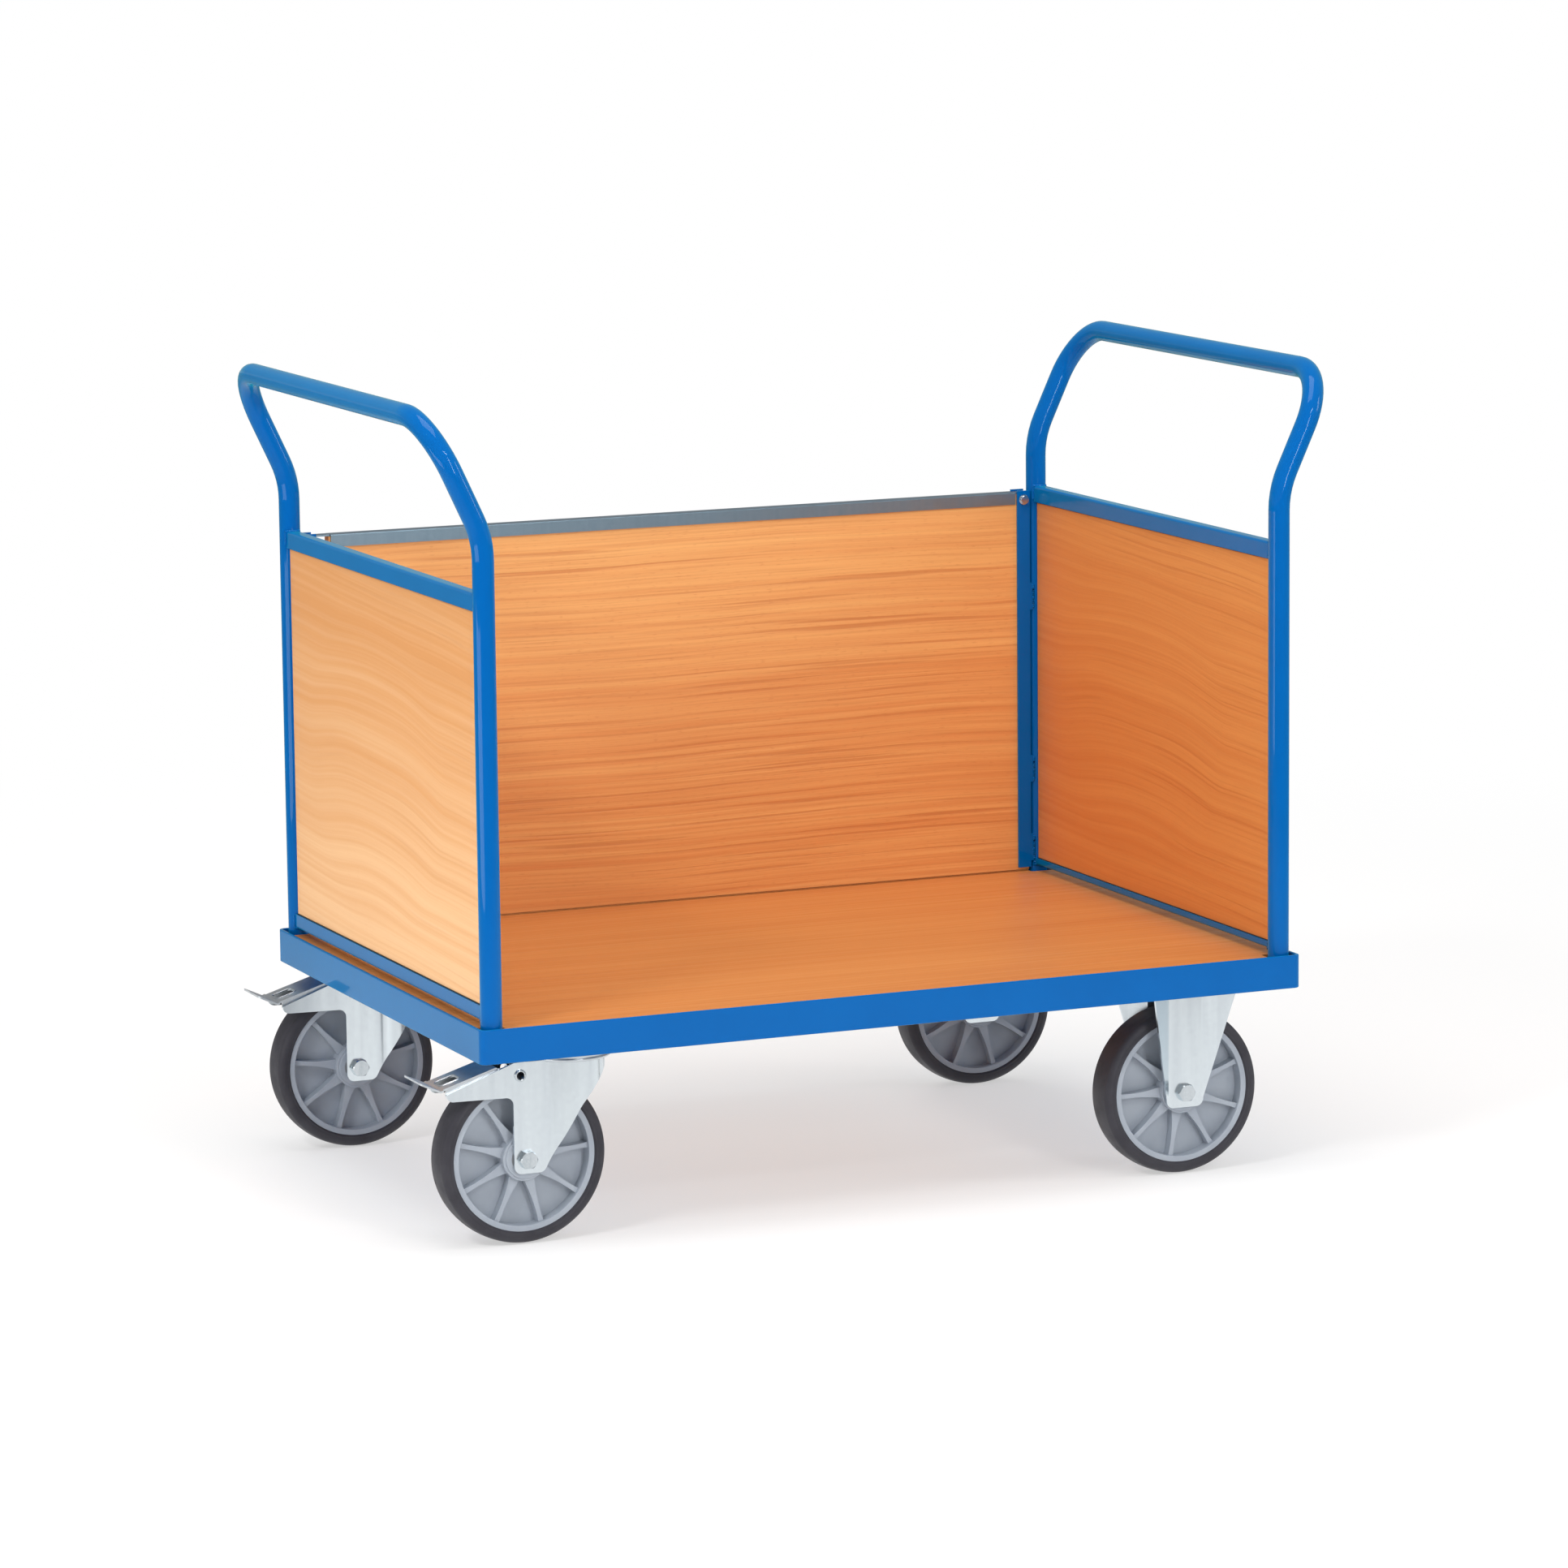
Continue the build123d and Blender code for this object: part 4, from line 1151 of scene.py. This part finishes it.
@dataclass
class SoftBox:
    """A flat studio lamp aimed at the trolley.

    Attributes:
        name: The lamp's name.
        place: Where it hangs, in metres.
        aim: What it points at, in metres.
        size: Its width and height, in metres.
        power: Its power in watts.
        mirrored: Whether shiny surfaces show it.
    """

    name: str
    place: tuple[float, float, float]
    aim: tuple[float, float, float]
    size: tuple[float, float]
    power: float
    mirrored: bool = True

    def build(self) -> None:
        """Hang the lamp."""
        lamp = bpy.data.lights.new(self.name, "AREA")
        lamp.shape = "RECTANGLE"
        lamp.size, lamp.size_y = self.size
        lamp.energy = self.power
        hung = bpy.data.objects.new(self.name, lamp)
        hung.visible_glossy = self.mirrored
        way = Vector(self.aim) - Vector(self.place)
        hung.matrix_world = Matrix.Translation(self.place) @ way.to_track_quat("-Z", "Y").to_matrix().to_4x4()
        bpy.context.scene.collection.objects.link(hung)
        log.info("lamp %s", self.name)


@dataclass
class Studio:
    """The floor, the light and the camera.

    Attributes:
        floor_half: Half the side of the floor, in metres.
        ambient: Strength of the light from all round.
        sky_glow: Strength of what shiny surfaces see above the trolley.
        sky_from: Height at which the surround has turned into that, as a share of straight up.
        floor_glow: Share of plain white in what the camera sees of the floor near the trolley.
        mirror_glow: Brightness of the floor near the trolley in reflections.
        mirror_far: Its brightness there further off.
        fade_from: Distance at which the floor starts to whiten, and to dim in reflections, in metres.
        fade_beyond: Distance past which it is plain white to the camera and dims no more, in metres.
        floor_colour: Colour of the floor.
        floor_rough: Roughness of the floor.
        eye: Where the camera stands, in metres.
        yaw: How far it looks to the right of straight back, in radians.
        pitch: How far it looks down, in radians.
        roll: How far it leans to the right, in radians.
        focal_pixels: Focal length in pixels of the square picture.
        picture_pixels: Side of the square picture.
        sensor: Sensor width in millimetres.
    """

    floor_half: float = 40.0
    ambient: float = 0.5
    sky_glow: float = 0.32
    sky_from: float = 0.12
    floor_glow: float = 0.5
    mirror_glow: float = 0.94
    mirror_far: float = 0.2
    fade_from: float = 1.2
    fade_beyond: float = 3.2
    floor_colour: Colour = (0.95, 0.94, 0.935, 1.0)
    floor_rough: float = 0.9
    eye: tuple[float, float, float] = (-2.9796, -6.9873, 1.6887)
    yaw: float = 0.4037
    pitch: float = 0.1616
    roll: float = 0.0106
    focal_pixels: float = 7968.0
    picture_pixels: float = 1932.0
    sensor: float = 36.0

    def lamps(self) -> list[SoftBox]:
        """The soft boxes round the trolley.

        Returns:
            The lamps, not yet hung.
        """
        return [
            SoftBox("left_box", (-2.4, -0.5, 0.25), (-0.5, 0.0, 0.2), (1.6, 0.4), 7.5),
            SoftBox("key_box", (-3.0, -1.8, 3.2), (0.3, 0.0, 0.4), (0.9, 0.6), 54.0, mirrored=False),
            SoftBox("front_box", (0.5, -4.4, 3.6), (0.0, 0.0, 0.5), (1.4, 0.3), 26.0),
            SoftBox("front_strip", (0.4, -4.2, 1.7), (0.0, 0.0, 0.7), (0.5, 1.8), 38.0),
            SoftBox("top_box", (-0.4, -0.5, 4.2), (0.0, 0.0, 0.4), (2.4, 2.4), 72.0),
            SoftBox("right_box", (4.2, -2.4, 2.2), (0.3, 0.0, 0.4), (1.0, 1.6), 30.0),
            SoftBox("rear_box", (0.6, 4.6, 2.6), (0.0, 0.0, 0.5), (3.0, 2.0), 55.0, mirrored=False),
        ]

    def light_floor(self, w: Wiring, glow: bpy.types.Node) -> Socket:
        """Set the floor's glow, to the camera and in reflections.

        Args:
            w: The wiring of the floor's material.
            glow: The glow's shader.

        Returns:
            The glow's share of the floor's look.
        """
        seen, mirrored = w.rays()
        reach = w.node("ShaderNodeVectorMath", operation="LENGTH")
        w.feed(reach.inputs[0], w.place())
        away = reach.outputs["Value"]
        white = w.span(away, self.fade_from, self.fade_beyond, self.floor_glow, 1.0)
        near, far = self.mirror_glow - 1.0, self.mirror_far - 1.0
        dim = w.span(away, self.fade_from, self.fade_beyond, near, far)
        w.feed(glow.inputs["Strength"], w.times(dim, mirrored, 1.0))
        return w.math("MAXIMUM", w.times(seen, white), mirrored)

    def build_world(self) -> None:
        """Make a surround that is white to the eye, and darker overhead in reflections."""
        world = bpy.data.worlds.new("studio")
        world.use_nodes = True
        bpy.context.scene.world = world
        w = Wiring(world.node_tree)
        sky = world.node_tree.nodes["Background"]
        sky.inputs["Color"].default_value = WHITE
        seen, mirrored = w.rays()
        height = w.node("ShaderNodeSeparateXYZ")
        w.feed(height.inputs[0], w.node("ShaderNodeTexCoord").outputs["Generated"])
        change = w.span(height.outputs["Z"], 0.0, self.sky_from, 0.0, self.sky_glow - self.ambient)
        plain = w.times(seen, 1.0 - self.ambient, self.ambient)
        w.feed(sky.inputs["Strength"], w.times(change, mirrored, plain))

    def build_floor(self) -> None:
        """Lay the pale floor."""
        mesh = bpy.data.meshes.new("floor")
        half = self.floor_half
        corners = [(-half, -half, 0), (half, -half, 0), (half, half, 0), (-half, half, 0)]
        mesh.from_pydata(corners, [], [(0, 1, 2, 3)])
        floor = bpy.data.objects.new("floor", mesh)
        bpy.context.scene.collection.objects.link(floor)
        made, w, shader = blank_material("pale_floor")
        shader.inputs["Base Color"].default_value = self.floor_colour
        shader.inputs["Roughness"].default_value = self.floor_rough
        shader.inputs["Specular IOR Level"].default_value = 0.0
        glow = w.node("ShaderNodeEmission")
        join = w.node("ShaderNodeMixShader")
        w.feed(join.inputs[0], self.light_floor(w, glow))
        w.feed(join.inputs[1], shader.outputs[0])
        w.feed(join.inputs[2], glow.outputs[0])
        w.feed(made.node_tree.nodes["Material Output"].inputs["Surface"], join.outputs[0])
        mesh.materials.append(made)

    def build_camera(self) -> None:
        """Stand the camera where the picture was taken from."""
        flat = math.cos(self.pitch)
        forward = Vector((math.sin(self.yaw) * flat, math.cos(self.yaw) * flat, -math.sin(self.pitch)))
        level = Vector((math.cos(self.yaw), -math.sin(self.yaw), 0.0))
        down = forward.cross(level)
        right = math.cos(self.roll) * level + math.sin(self.roll) * down
        down = math.cos(self.roll) * down - math.sin(self.roll) * level
        lens = bpy.data.cameras.new("camera")
        lens.sensor_width = self.sensor
        lens.lens = self.sensor * self.focal_pixels / self.picture_pixels
        camera = bpy.data.objects.new("camera", lens)
        turn = Matrix((right, -down, -forward)).transposed()
        camera.matrix_world = Matrix.Translation(self.eye) @ turn.to_4x4()
        bpy.context.scene.collection.objects.link(camera)
        bpy.context.scene.camera = camera

    def build(self) -> None:
        """Set up the whole studio."""
        bpy.context.scene.view_settings.view_transform = "Standard"
        self.build_world()
        self.build_floor()
        self.build_camera()
        for lamp in self.lamps():
            lamp.build()


def main() -> None:
    """Dress the frame, add the small pieces and set up the studio."""
    logging.basicConfig(level=logging.INFO, format="%(message)s")
    finishes = Finishes()
    paint = Paintbox()
    Platform(finishes, paint).dress()
    BackWall(finishes, paint).dress()
    left = EndWall(finishes, paint, "left", finishes.left)
    right = EndWall(finishes, paint, "right", finishes.right)
    for part in (left, right, Castors(finishes, paint)):
        part.dress()
        part.build()
    Studio().build()


if __name__ == "__main__":
    main()
